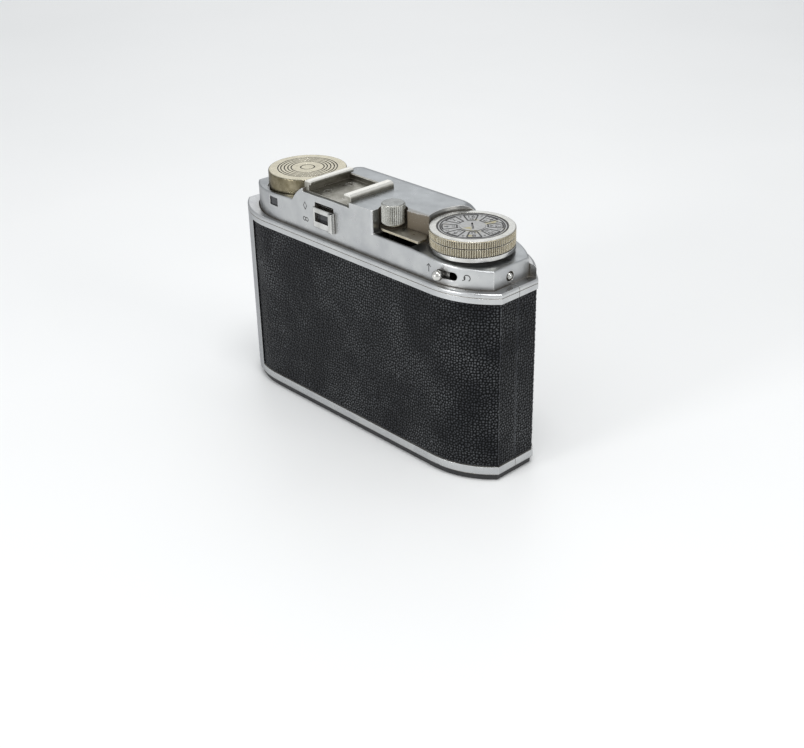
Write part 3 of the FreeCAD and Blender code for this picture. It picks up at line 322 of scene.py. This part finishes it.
def bright_chrome():
    return metal("bright_chrome", (0.70, 0.70, 0.69), (0.54, 0.54, 0.52), (0.12, 0.26), (0.14, 0.10, 0.06),
                 grime_and_shade_reach=1.0, edge=(0.92, 0.92, 0.9), patch=4.0)


def selector_chrome():
    return metal("selector_chrome", (0.74, 0.74, 0.72), (0.56, 0.55, 0.52), (0.10, 0.22),
                 (0.012, 0.010, 0.008), grime_and_shade_reach=2.5, edge=(0.92, 0.92, 0.90), patch=4.0,
                 shaded_and_dirty_from=0.30)


def shoe_metal():
    return metal("shoe_metal", (0.44, 0.43, 0.39), (0.30, 0.29, 0.25), (0.26, 0.40), (0.10, 0.08, 0.05),
                 grime_and_shade_reach=1.2, edge=(0.86, 0.85, 0.80), patch=3.0, streak=(1, 12, 1),
                 rubbed_and_highlit_above=RAIL_TOPS)


def button_metal():
    return metal("button_metal", (0.46, 0.46, 0.43), (0.33, 0.33, 0.30), (0.22, 0.36), (0.07, 0.06, 0.04),
                 grime_and_shade_reach=0.6, edge=(0.80, 0.80, 0.76), patch=2.0, top=(0.38, 0.39, 0.38),
                 turned_on="release_button")


def nickel():
    return metal("nickel", (0.56, 0.52, 0.42), (0.40, 0.35, 0.25), (0.26, 0.42), (0.09, 0.06, 0.03),
                 grime_and_shade_reach=1.6, edge=(0.82, 0.79, 0.68), patch=3.0, top=(0.54, 0.52, 0.46))


def advance_nickel():
    # Top and edges painted bright as painted reflection and highlight, with wear on the edges; knurl gaps
    # darkened as painted shade with soiling.
    return metal("advance_nickel", (0.41, 0.365, 0.26), (0.26, 0.22, 0.14), (0.20, 0.36),
                 (0.02, 0.017, 0.01), grime_and_shade_reach=0.5, edge=(0.97, 0.94, 0.84), patch=3.0,
                 top=(0.70, 0.70, 0.67), turned_on="advance_knob", shaded_and_dirty_from=0.14)


def rewind_nickel():
    return metal("rewind_nickel", (0.26, 0.23, 0.16), (0.15, 0.13, 0.08), (0.14, 0.30), (0.03, 0.022, 0.01),
                 grime_and_shade_reach=0.7, edge=(0.90, 0.87, 0.76), patch=2.5, top=(0.66, 0.62, 0.49),
                 turned_on="rewind_knob", shaded_and_dirty_from=0.22)


def steel():
    return metal("steel", (0.60, 0.60, 0.60), (0.45, 0.45, 0.45), (0.22, 0.35), (0.12, 0.09, 0.06),
                 grime_and_shade_reach=0.8, edge=(0.75, 0.75, 0.75), patch=3.0)


def spring_steel():
    return metal("spring_steel", (0.42, 0.44, 0.48), (0.30, 0.31, 0.36), (0.20, 0.32), (0.08, 0.06, 0.05),
                 grime_and_shade_reach=0.8, patch=5.0, streak=(1, 1, 12))


def brass():
    return metal("brass", (0.80, 0.60, 0.28), (0.62, 0.43, 0.17), (0.22, 0.38), (0.14, 0.09, 0.03),
                 grime_and_shade_reach=0.8, edge=(0.9, 0.74, 0.42), patch=3.0)


def mirror():
    look = Look("mirror", Metallic=1.0)
    look.set("Base Color", look.mix(look.noise(3.0), (0.80, 0.83, 0.85), (0.90, 0.92, 0.93)))
    look.set("Roughness", look.spread(look.noise(1.5), 0.4, 0.8, 0.02, 0.12))
    return look.material


def paint(name, dark, light, rough, orange_peel, wear=None):
    """Painted metal: slight tone change, fine texture, and bare metal on the sharpest edges."""
    look = Look(name)
    tone = look.mix(look.noise(4.0, 4.0), dark, light)
    if wear:
        chips = look.math("MULTIPLY", look.edges(0.2), look.spread(look.noise(1.2, 4.0), 0.5, 0.62))
        tone = look.mix(chips, tone, wear)
        look.set("Metallic", chips)
    look.set("Base Color", tone)
    look.set("Roughness", look.spread(look.noise(0.8, 3.0), 0.3, 0.7, *rough))
    look.bump(look.noise(orange_peel, 2.0), 0.02, 0.5, rounding=0.1)
    return look.material


def black_frame():
    return paint("black_frame", (0.010, 0.010, 0.011), (0.022, 0.022, 0.024), (0.38, 0.55), 0.35,
                 (0.62, 0.50, 0.28))


def black_gloss():
    return paint("black_gloss", (0.006, 0.006, 0.007), (0.014, 0.014, 0.015), (0.12, 0.22), 0.8,
                 (0.70, 0.60, 0.38))


def leather():
    """Black grained leather: hollows darker than its own black as painted shade, grey worn tops, and a few
    scuffs.
    """
    look = Look("leather", Specular_IOR_Level=0.09)
    wear = look.spread(look.noise(11.0, 5.0), 0.40, 0.75)
    # Hollows near black: painted shade.
    hollow = look.mix(look.noise(2.5, 4.0), (0.0008, 0.0010, 0.0014), (0.0020, 0.0025, 0.0030))
    top = look.mix(wear, (0.034, 0.036, 0.041), (0.108, 0.113, 0.119))
    tone = look.mix(look.raised(), hollow, top)
    scratch = look.noise(0.35, 2.0, (1, 1, 28))
    scratch = look.math("MULTIPLY", look.spread(scratch, 0.74, 0.80), wear)
    look.set("Base Color", look.mix(scratch, tone, (0.07, 0.07, 0.07)))
    look.set("Roughness", look.spread(look.noise(1.1, 3.0), 0.3, 0.7, 0.20, 0.38))
    fine = look.math("MULTIPLY", look.noise(0.16, 2.0), 0.35)
    look.bump(look.math("ADD", look.cells(0.45), fine), 0.03, 0.5)
    return look.material


def bellows_leather():
    """Thin black bellows cloth with a fine weave, rubbed grey along the folds."""
    look = Look("bellows_leather", Specular_IOR_Level=0.3)
    rubbed = look.math("MULTIPLY", look.edges(0.5), look.spread(look.noise(2.0, 3.0), 0.4, 0.6))
    tone = look.mix(look.noise(1.5, 3.0), (0.008, 0.008, 0.009), (0.018, 0.018, 0.019))
    look.set("Base Color", look.mix(rubbed, tone, (0.06, 0.058, 0.055)))
    look.set("Roughness", look.spread(look.noise(0.6), 0.3, 0.7, 0.55, 0.75))
    look.bump(look.noise(0.18, 2.0, (3, 1, 1)), 0.03, 0.6)
    return look.material


def optical_glass():
    look = Look("optical_glass", Transmission_Weight=0.92, IOR=1.52)
    look.set("Base Color", look.mix(look.noise(5.0), (0.80, 0.84, 0.88), (0.90, 0.90, 0.93)))
    look.set("Roughness", look.spread(look.noise(1.5, 4.0), 0.45, 0.8, 0.01, 0.10))
    look.bump(look.noise(2.0), 0.004, 0.3)
    return look.material


def dark_glass():
    """Finder glass painted nearly black: painted shade of the unlit inside of the housing behind it."""
    look = Look("dark_glass", Specular_IOR_Level=0.5)
    look.set("Base Color", look.mix(look.noise(2.5), (0.012, 0.013, 0.015), (0.035, 0.037, 0.042)))
    look.set("Roughness", look.spread(look.noise(1.2, 4.0), 0.45, 0.8, 0.03, 0.15))
    return look.material


def dial_face():
    """Grey spun aluminium disc, tarnished yellow in places."""
    look = Look("dial_face", Metallic=0.85)
    tone = look.mix(look.noise(1.6, 4.0), (0.27, 0.275, 0.28), (0.42, 0.42, 0.41))
    stain = look.spread(look.noise(3.5, 3.0), 0.60, 0.74)
    tone = look.mix(stain, tone, (0.36, 0.32, 0.17))
    # Corners darkened by occlusion: painted shade, with soiling.
    dirt = look.spread(look.crevices(0.8), 0.15, 0.4)
    look.set("Base Color", look.mix(dirt, tone, (0.012, 0.011, 0.01)))
    look.set("Roughness", look.spread(look.noise(0.9, 3.0), 0.3, 0.7, 0.30, 0.48))
    look.bump(look.noise(0.12, 2.0), 0.01, 0.5, rounding=0.1)
    return look.material


def ink():
    """Black filling of engraved lines, worn in places."""
    look = Look("ink")
    look.set("Base Color", look.mix(look.noise(0.6, 3.0), (0.008, 0.008, 0.009), (0.035, 0.033, 0.032)))
    look.set("Roughness", look.spread(look.noise(0.4), 0.3, 0.7, 0.45, 0.7))
    return look.material


def pale_floor():
    look = Look("pale_floor")
    look.set("Base Color", look.mix(look.noise(180.0, 3.0), (0.86, 0.87, 0.87), (0.90, 0.905, 0.905)))
    look.set("Roughness", look.spread(look.noise(60.0), 0.3, 0.7, 0.45, 0.6))
    return look.material


MATERIALS = {make.__name__: make() for make in (
    satin_chrome, housing_chrome, bright_chrome, selector_chrome, shoe_metal, button_metal, nickel,
    advance_nickel, rewind_nickel, steel, spring_steel, brass, mirror, black_frame, black_gloss,
    leather, bellows_leather, optical_glass, dark_glass, dial_face, ink, pale_floor)}
NODE_FINISH = {             # every other node takes its slot's finish
    "top_housing": "housing_chrome", "rewind_selector": "selector_chrome",
    "accessory_shoe": "shoe_metal", "shoe_screws": "shoe_metal", "release_button": "button_metal",
    "advance_knob": "advance_nickel", "rewind_knob": "rewind_nickel",
    "front_windows": "dark_glass", "rangefinder_eyepiece": "dark_glass",
    "viewfinder_eyepiece": "dark_glass"}


def dress_nodes():
    """Gives every CAD node its finish."""
    for part in frame["record"]["subparts"]:
        finish = NODE_FINISH.get(part["node"], part["material_slot"])
        slots = frame["nodes"][part["node"]].data.materials
        slots.clear()
        slots.append(MATERIALS[finish])


# ---- mesh helpers -----------------------------------------------------------
def mesh_object(name, points, faces, material, smooth=False):
    mesh = bpy.data.meshes.new(name)
    mesh.from_pydata([tuple(p) for p in points], [], faces)
    mesh.update()
    if smooth:
        mesh.shade_smooth()
    mesh.materials.append(MATERIALS[material])
    piece = bpy.data.objects.new(name, mesh)
    bpy.context.scene.collection.objects.link(piece)
    return piece


def grid_faces(rows, columns, start=0, closed=False):
    """Quads of a grid of points stored row by row; `closed` joins its last column to the first."""
    faces = []
    for row in range(rows - 1):
        for column in range(columns if closed else columns - 1):
            following = (column + 1) % columns
            low, high = start + row * columns, start + (row + 1) * columns
            faces.append((low + column, low + following, high + following, high + column))
    return faces


def rear_outline(by, spacing, length, straight, corner, depth):
    """Points and outward normals (x, y) along a rear half outline, from +X to -X.

    It is moved inward by `by`, and the other sizes are those of BODY_OUTLINE."""
    run, drop = length - straight, depth - corner
    radius = (run ** 2 + drop ** 2) / (2 * drop)
    half_end = math.sqrt((radius - by) ** 2 - (run - by) ** 2) + depth - radius
    arc_turn = math.asin((run - by) / (radius - by))
    pieces = []

    def line(start, end, normal):
        count = max(2, math.ceil(math.dist(start, end) / spacing))
        for step in range(count):
            t = step / count
            point = (start[0] + (end[0] - start[0]) * t, start[1] + (end[1] - start[1]) * t)
            pieces.append((point, normal))

    def arc(side, first, last):
        count = max(2, math.ceil(abs(last - first) * radius / spacing))
        for step in range(count):
            angle = first + (last - first) * step / count
            normal = (side * math.sin(angle), math.cos(angle))
            centre = (side * straight, depth - radius)
            point = (centre[0] + normal[0] * (radius - by), centre[1] + normal[1] * (radius - by))
            pieces.append((point, normal))

    line((length - by, 0.0), (length - by, half_end), (1.0, 0.0))
    arc(1, arc_turn, 0.0)
    line((straight, depth - by), (-straight, depth - by), (0.0, 1.0))
    arc(-1, 0.0, arc_turn)
    line((by - length, half_end), (by - length, 0.0), (-1.0, 0.0))
    pieces.append(((by - length, 0.0), (-1.0, 0.0)))
    return pieces


# ---- leather ------------------------------------------------------------------
GRAIN = 0.95 * MM           # width of one pebble
GRAIN_STEP = 0.21 * MM      # mesh spacing of the grained face
GRAIN_DEPTH = 0.30 * MM
GRAIN_SEED = 11
GRAIN_MARGIN = 1.5          # pebbles reach at least this many widths past each edge
JITTER = (0.12, 0.88)       # where a pebble's centre may lie in its own square
SWELL = (0.5, 1.0)          # height of the lowest and the highest pebble
DOME = 0.85                 # radius where a pebble's dome comes down, in pebble widths
VALLEY = 0.30               # width of the slope beside a valley, in pebble widths
TURNED_IN = (0.4 * MM, 0.15 * MM)   # width and depth of the skin's turned-in edge
LEATHER_THICK = 0.55 * MM


def pebbles(across, up):
    """Grain height from 0 in the valleys to 1, at distances across and up the hide."""
    random = np.random.RandomState(GRAIN_SEED)
    columns, rows = (int(v.max() / GRAIN + 2 * GRAIN_MARGIN) + 2 for v in (across, up))
    centres = random.uniform(*JITTER, (columns, rows, 2))
    swell = random.uniform(*SWELL, (columns, rows))
    u, v = across / GRAIN + GRAIN_MARGIN, up / GRAIN + GRAIN_MARGIN
    cell_u, cell_v = np.floor(u).astype(int), np.floor(v).astype(int)
    first = np.full(u.shape, np.inf)
    second = np.full(u.shape, np.inf)
    height = np.zeros(u.shape)
    for du in (-1, 0, 1):
        for dv in (-1, 0, 1):
            iu, iv = np.clip(cell_u + du, 0, columns - 1), np.clip(cell_v + dv, 0, rows - 1)
            reach = np.hypot(iu + centres[iu, iv, 0] - u, iv + centres[iu, iv, 1] - v)
            nearer = reach < first
            second = np.where(nearer, first, np.minimum(second, reach))
            height = np.where(nearer, swell[iu, iv], height)
            first = np.where(nearer, reach, first)
    dome = np.clip(1 - (first / DOME) ** 2, 0, 1)
    return height * dome * np.clip((second - first) / VALLEY, 0, 1) ** 0.5


def skin_faces(rows, columns):
    """Faces of a skin: a grid in front, then one row of points each for the back's foot and top."""
    faces = grid_faces(rows, columns)
    base = rows * columns
    top = base - columns
    for i in range(columns - 1):
        faces.append((base + i, base + i + 1, i + 1, i))
        faces.append((top + i, top + i + 1, base + columns + i + 1, base + columns + i))
        faces.append((base + i + 1, base + i, base + columns + i, base + columns + i + 1))
    faces.append((base, *[row * columns for row in range(rows)], base + columns))
    last = [row * columns + columns - 1 for row in range(rows)]
    faces.append((base + 2 * columns - 1, *reversed(last), base + columns - 1))
    return faces


def leather_piece(name, path, z_low, z_high):
    """A grained skin along a path of (point, normal) pairs, turned in and closed at its edges."""
    places = np.array([p for p, _ in path])
    normals = np.array([n for _, n in path])
    steps = np.hypot(*np.diff(places, axis=0).T)
    across = np.concatenate([[0.0], np.cumsum(steps)])
    levels = np.linspace(z_low, z_high, math.ceil((z_high - z_low) / GRAIN_STEP) + 1)
    u, v = np.meshgrid(across, levels - z_low)
    edge = np.minimum.reduce([u, across[-1] - u, v, v[-1, 0] - v])
    turned_in = np.clip(1 - edge / TURNED_IN[0], 0, 1) ** 2 * TURNED_IN[1]
    sunk = (1 - pebbles(u, v)) * GRAIN_DEPTH + turned_in
    rows, columns = u.shape
    outer = np.empty((rows, columns, 3))
    outer[..., :2] = places[None] - normals[None] * sunk[..., None]
    outer[..., 2] = levels[:, None]
    inner = np.empty((2, columns, 3))
    inner[..., :2] = places - normals * LEATHER_THICK
    inner[0, :, 2], inner[1, :, 2] = z_low, z_high
    points = np.concatenate([outer.reshape(-1, 3), inner.reshape(-1, 3)])
    piece = mesh_object(name, points, skin_faces(rows, columns), "leather", smooth=True)
    return piece


def trimmed(outline, x_end, y_end):
    """The part of a rear outline from x_end, at the hinge side, to y_end at the far end, cut exactly."""
    places = np.array([p for p, _ in outline])
    first = int(np.argmax(places[:, 0] < x_end))
    kept = [(p, n) for p, n in outline[first:] if p[1] > y_end]
    (x0, y0), (x1, y1) = outline[first - 1][0], outline[first][0]
    start_y = y0 + (y1 - y0) * (x_end - x0) / (x1 - x0)
    end_x = kept[-1][0][0]
    return [((x_end, start_y), outline[first][1]), *kept, ((end_x, y_end), kept[-1][1])]


def make_leathers():
    """Grained skins on the back cover, on both sides of the front, and on the door."""
    outline = rear_outline(LEATHER_SINK, GRAIN_STEP, *BODY_OUTLINE)
    low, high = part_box("back_leather")
    rear = trimmed(outline, high.x, low.y)
    piece = leather_piece("back_leather_grain", rear, low.z, high.z)
    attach(piece, "back_cover")
    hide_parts("back_leather")
    front_low, front_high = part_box("front_leather")
    door_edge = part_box("front_door")[1].x
    around_front = trimmed(outline, front_high.x, -front_high.y)
    front = [((x, -y), (nx, -ny)) for (x, y), (nx, ny) in reversed(around_front)]
    sides = {"left": [q for q in front if q[0][0] > door_edge],
             "right": [q for q in front if q[0][0] < -door_edge]}
    for side, path in sides.items():
        piece = leather_piece("front_leather_grain_" + side, path, front_low.z, front_high.z)
        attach(piece, "camera_body")
        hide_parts("front_leather")
    low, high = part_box("door_leather")
    count = math.ceil((high.x - low.x) / GRAIN_STEP)
    flat = [((low.x + (high.x - low.x) * i / count, low.y), (0.0, -1.0)) for i in range(count + 1)]
    piece = leather_piece("door_leather_grain", flat, low.z, high.z)
    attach(piece, "front_door")
    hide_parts("door_leather")


# ---- bellows --------------------------------------------------------------------
def make_bellows():
    """Pleated square tube with cut corners, from the film gate to the lens standard."""
    folds, quarters, side_steps = 9, 4, 6
    thickness, pinch, chamfer = 0.25 * MM, 1.7 * MM, 2.2 * MM
    chamfer_gain = 0.4      # a chamfer's growth, as a share of how far the fold stands out
    sharpness = 0.8         # below 1 the outer folds are the sharp ones
    low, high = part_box("bellows")
    half_x, half_z = (high.x - low.x) / 2, (high.z - low.z) / 2
    middle_z = (low.z + high.z) / 2

    def ring(y, shrink):
        hx, hz = half_x - shrink, half_z - shrink
        cut = chamfer + (pinch - shrink) * chamfer_gain
        corners = [(hx, hz - cut), (hx - cut, hz), (cut - hx, hz), (-hx, hz - cut),
                   (-hx, cut - hz), (cut - hx, -hz), (hx - cut, -hz), (hx, cut - hz)]
        points = []
        for start, end in zip(corners, corners[1:] + corners[:1]):
            for step in range(side_steps):
                t = step / side_steps
                x, z = (a + (b - a) * t for a, b in zip(start, end))
                points.append((x, y, middle_z + z))
        return points

    levels = quarters * folds + 1
    skins = []
    for inward in (0.0, thickness):
        for level in range(levels):
            wave = 0.5 - 0.5 * math.cos(math.tau * level / quarters)
            shrink = pinch * wave ** sharpness + inward
            skins.append(ring(low.y + (high.y - low.y) * level / (levels - 1), shrink))
    columns = len(skins[0])
    points = [p for skin in skins for p in skin]
    outside = grid_faces(levels, columns, closed=True)
    inside = [face[::-1] for face in grid_faces(levels, columns, levels * columns, closed=True)]
    ends = []
    for level in (0, levels - 1):
        first, second = level * columns, (levels + level) * columns
        for i in range(columns):
            j = (i + 1) % columns
            quad = (first + i, second + i, second + j, first + j)
            ends.append(quad if level == 0 else quad[::-1])
    piece = mesh_object("bellows_pleats", points, outside + inside + ends, "bellows_leather")
    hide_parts("bellows")
    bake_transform(piece)


# ---- engraved marks ----------------------------------------------------------------
def stroke(points, width):
    """Quads of a line of constant width through flat points, as (corners, faces)."""
    corners, faces = [], []
    for i, point in enumerate(points):
        before, after = points[max(i - 1, 0)], points[min(i + 1, len(points) - 1)]
        along = Vector((after[0] - before[0], after[1] - before[1]))
        along.normalize()
        side = Vector((-along.y, along.x)) * width / 2
        corners += [(point[0] + side.x, point[1] + side.y), (point[0] - side.x, point[1] - side.y)]
        if i:
            a = 2 * i
            faces.append((a - 2, a - 1, a + 1, a))
    return corners, faces


def arc_points(radius, start, end, centre=(0.0, 0.0), steps=24):
    """Points of an arc; angles in degrees."""
    angles = [math.radians(start + (end - start) * i / steps) for i in range(steps + 1)]
    return [(centre[0] + radius * math.cos(a), centre[1] + radius * math.sin(a)) for a in angles]


def figure(text, size):
    """Flat triangles of a number, centred on the origin, as (corners, faces)."""
    curve = bpy.data.curves.new("figure", "FONT")
    curve.body, curve.size = text, size
    curve.align_x, curve.align_y = "CENTER", "CENTER"
    curve.resolution_u = 3
    carrier = bpy.data.objects.new("figure", curve)
    mesh = bpy.data.meshes.new_from_object(carrier)
    corners = [(v.co.x, v.co.y) for v in mesh.vertices]
    faces = [tuple(p.vertices) for p in mesh.polygons]
    bpy.data.objects.remove(carrier)
    bpy.data.curves.remove(curve)
    bpy.data.meshes.remove(mesh)
    return corners, faces


def ink_piece(name, shapes, body, place):
    """Joins flat shapes into one thin closed piece; `place` takes (u, v, lift) to a point in space."""
    points, faces = [], []
    for corners, polygons in shapes:
        start, count = len(points), len(corners)
        points += [place(u, v, PAPER) for u, v in corners] + [place(u, v, 0.0) for u, v in corners]
        sides = {}
        for polygon in polygons:
            faces.append(tuple(start + i for i in polygon))
            faces.append(tuple(start + count + i for i in reversed(polygon)))
            sides.update(dict.fromkeys(zip(polygon, polygon[1:] + polygon[:1])))
        for a, b in sides:
            if (b, a) not in sides:
                faces.append((start + b, start + a, start + count + a, start + count + b))
    piece = mesh_object(name, points, faces, "ink")
    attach(piece, body)


def around(shape, radius, degrees):
    """A shape set on a circle, its top pointing outward."""
    corners, faces = shape
    c, s = math.cos(math.radians(degrees)), math.sin(math.radians(degrees))
    return [(x * s + (y + radius) * c, (y + radius) * s - x * c) for x, y in corners], faces


def make_dial_marks():
    """Two rings, framed cells with two numbers each, and a number between each two cells."""
    low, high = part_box("depth_dial")
    centre = (low + high) / 2
    line = 0.46 * MM
    rings = (10.6 * MM, 9.75 * MM)
    cells, half_cell, first_cell = 8, 14.0, 2.0     # number, and angles in degrees
    cell_radii = (4.7 * MM, 9.2 * MM)

    def place(u, v, lift):
        return (centre.x + u, centre.y + v, high.z + lift)

    lines = [stroke(arc_points(radius, 0, 360, steps=96), line) for radius in rings]
    numbers = []
    for cell in range(cells):
        middle = cell * 360 / cells + first_cell
        ends = (middle - half_cell, middle + half_cell)
        edges = [arc_points(radius, *ends, steps=8) for radius in cell_radii]
        edges += [[arc_points(radius, end, end, steps=1)[0] for radius in cell_radii] for end in ends]
        lines += [stroke(edge, line) for edge in edges]
        between = middle + 180 / cells
        value = 2 * (cell + 1)
        for number, size, radius, angle in (        # sizes and radii in millimetres
                (value, 2.7, 7.7, middle), (3 * value, 1.5, 5.7, middle), (cell + 1, 1.6, 8.3, between)):
            numbers.append(around(figure(str(number), size * MM), radius * MM, angle))
    ink_piece("dial_lines", lines, "advance_knob", place)
    ink_piece("dial_numbers", numbers, "advance_knob", place)


def make_lens_scales():
    """Numbers on the front faces of the focus ring and the shutter-speed ring."""
    tick_width, tick_half = 0.15 * MM, 0.5 * MM
    for node, radius, size, values in (
            ("focus_ring", 11.0 * MM, 1.7 * MM, (1, 1.2, 1.5, 2, 3, 5, 10, 20)),
            ("speed_ring", 16.8 * MM, 1.4 * MM, (1, 2, 5, 10, 25, 50, 100, 200))):
        low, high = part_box(node)
        centre = (low + high) / 2

        def place(u, v, lift):
            return (centre.x + u, low.y - lift, centre.z + v)

        shapes = []
        for index, value in enumerate(values):
            turn = 90 - index * 360 / len(values)
            shapes.append(around(figure(f"{value:g}", size), radius, turn))
            tick = stroke([(0, -tick_half), (0, tick_half)], tick_width)
            shapes.append(around(tick, radius, turn - 180 / len(values)))
        ink_piece(node + "_numbers", shapes, node, place)


def make_housing_marks():
    """Small signs cut into the rear wall, beside the finder slide and beside the rewind selector."""
    outline = rear_outline(0.0, 0.1 * MM, *HOUSING_OUTLINE)
    places = np.array([p for p, _ in outline])
    normals = np.array([n for _, n in outline])

    run = np.concatenate([[0.0], np.cumsum(np.hypot(*np.diff(places, axis=0).T))])

    def on_wall(x, z):
        """Places a shape's u along the wall to the right, seen from behind, and v up."""
        start = int(np.argmin(np.abs(places[:, 0] - x)))

        def place(u, v, lift):
            at = run[start] + u
            x_at = np.interp(at, run, places[:, 0])
            y_at = np.interp(at, run, places[:, 1])
            n = [np.interp(at, run, normals[:, i]) for i in (0, 1)]
            return (x_at + n[0] * lift, y_at + n[1] * lift, z + v)
        return place

    def drawn(*points):
        return stroke([(u * MM, v * MM) for u, v in points], line)

    line, loop, hook = 0.28 * MM, 0.62 * MM, 0.95 * MM
    far = [stroke(arc_points(loop, 0, 360, (side * loop, 0)), line) for side in (-1, 1)]
    near = [drawn((0, -1.3), (0.8, 0), (0, 1.3), (-0.8, 0), (0, -1.3))]
    up_arrow = [drawn((0, -1.3), (0, 1.1)), drawn((-0.8, 0.4), (0, 1.3), (0.8, 0.4))]
    back_arrow = [stroke(arc_points(hook, -60, 220), line), drawn((-1.5, -0.9), (-0.7, -0.6), (-0.6, 0.3))]
    for name, shapes, x, z in (                     # x and z in millimetres
            ("finder_sign_near", near, 20.0, 73.3), ("finder_sign_far", far, 20.0, 68.7),
            ("advance_sign", up_arrow, -37.3, 68.4), ("rewind_sign", back_arrow, -50.3, 67.9)):
        ink_piece(name, shapes, "camera_body", on_wall(x * MM, z * MM))


# ---- run --------------------------------------------------------------------
make_camera()
make_stage()
dress_nodes()
make_leathers()
make_bellows()
make_dial_marks()
make_lens_scales()
make_housing_marks()
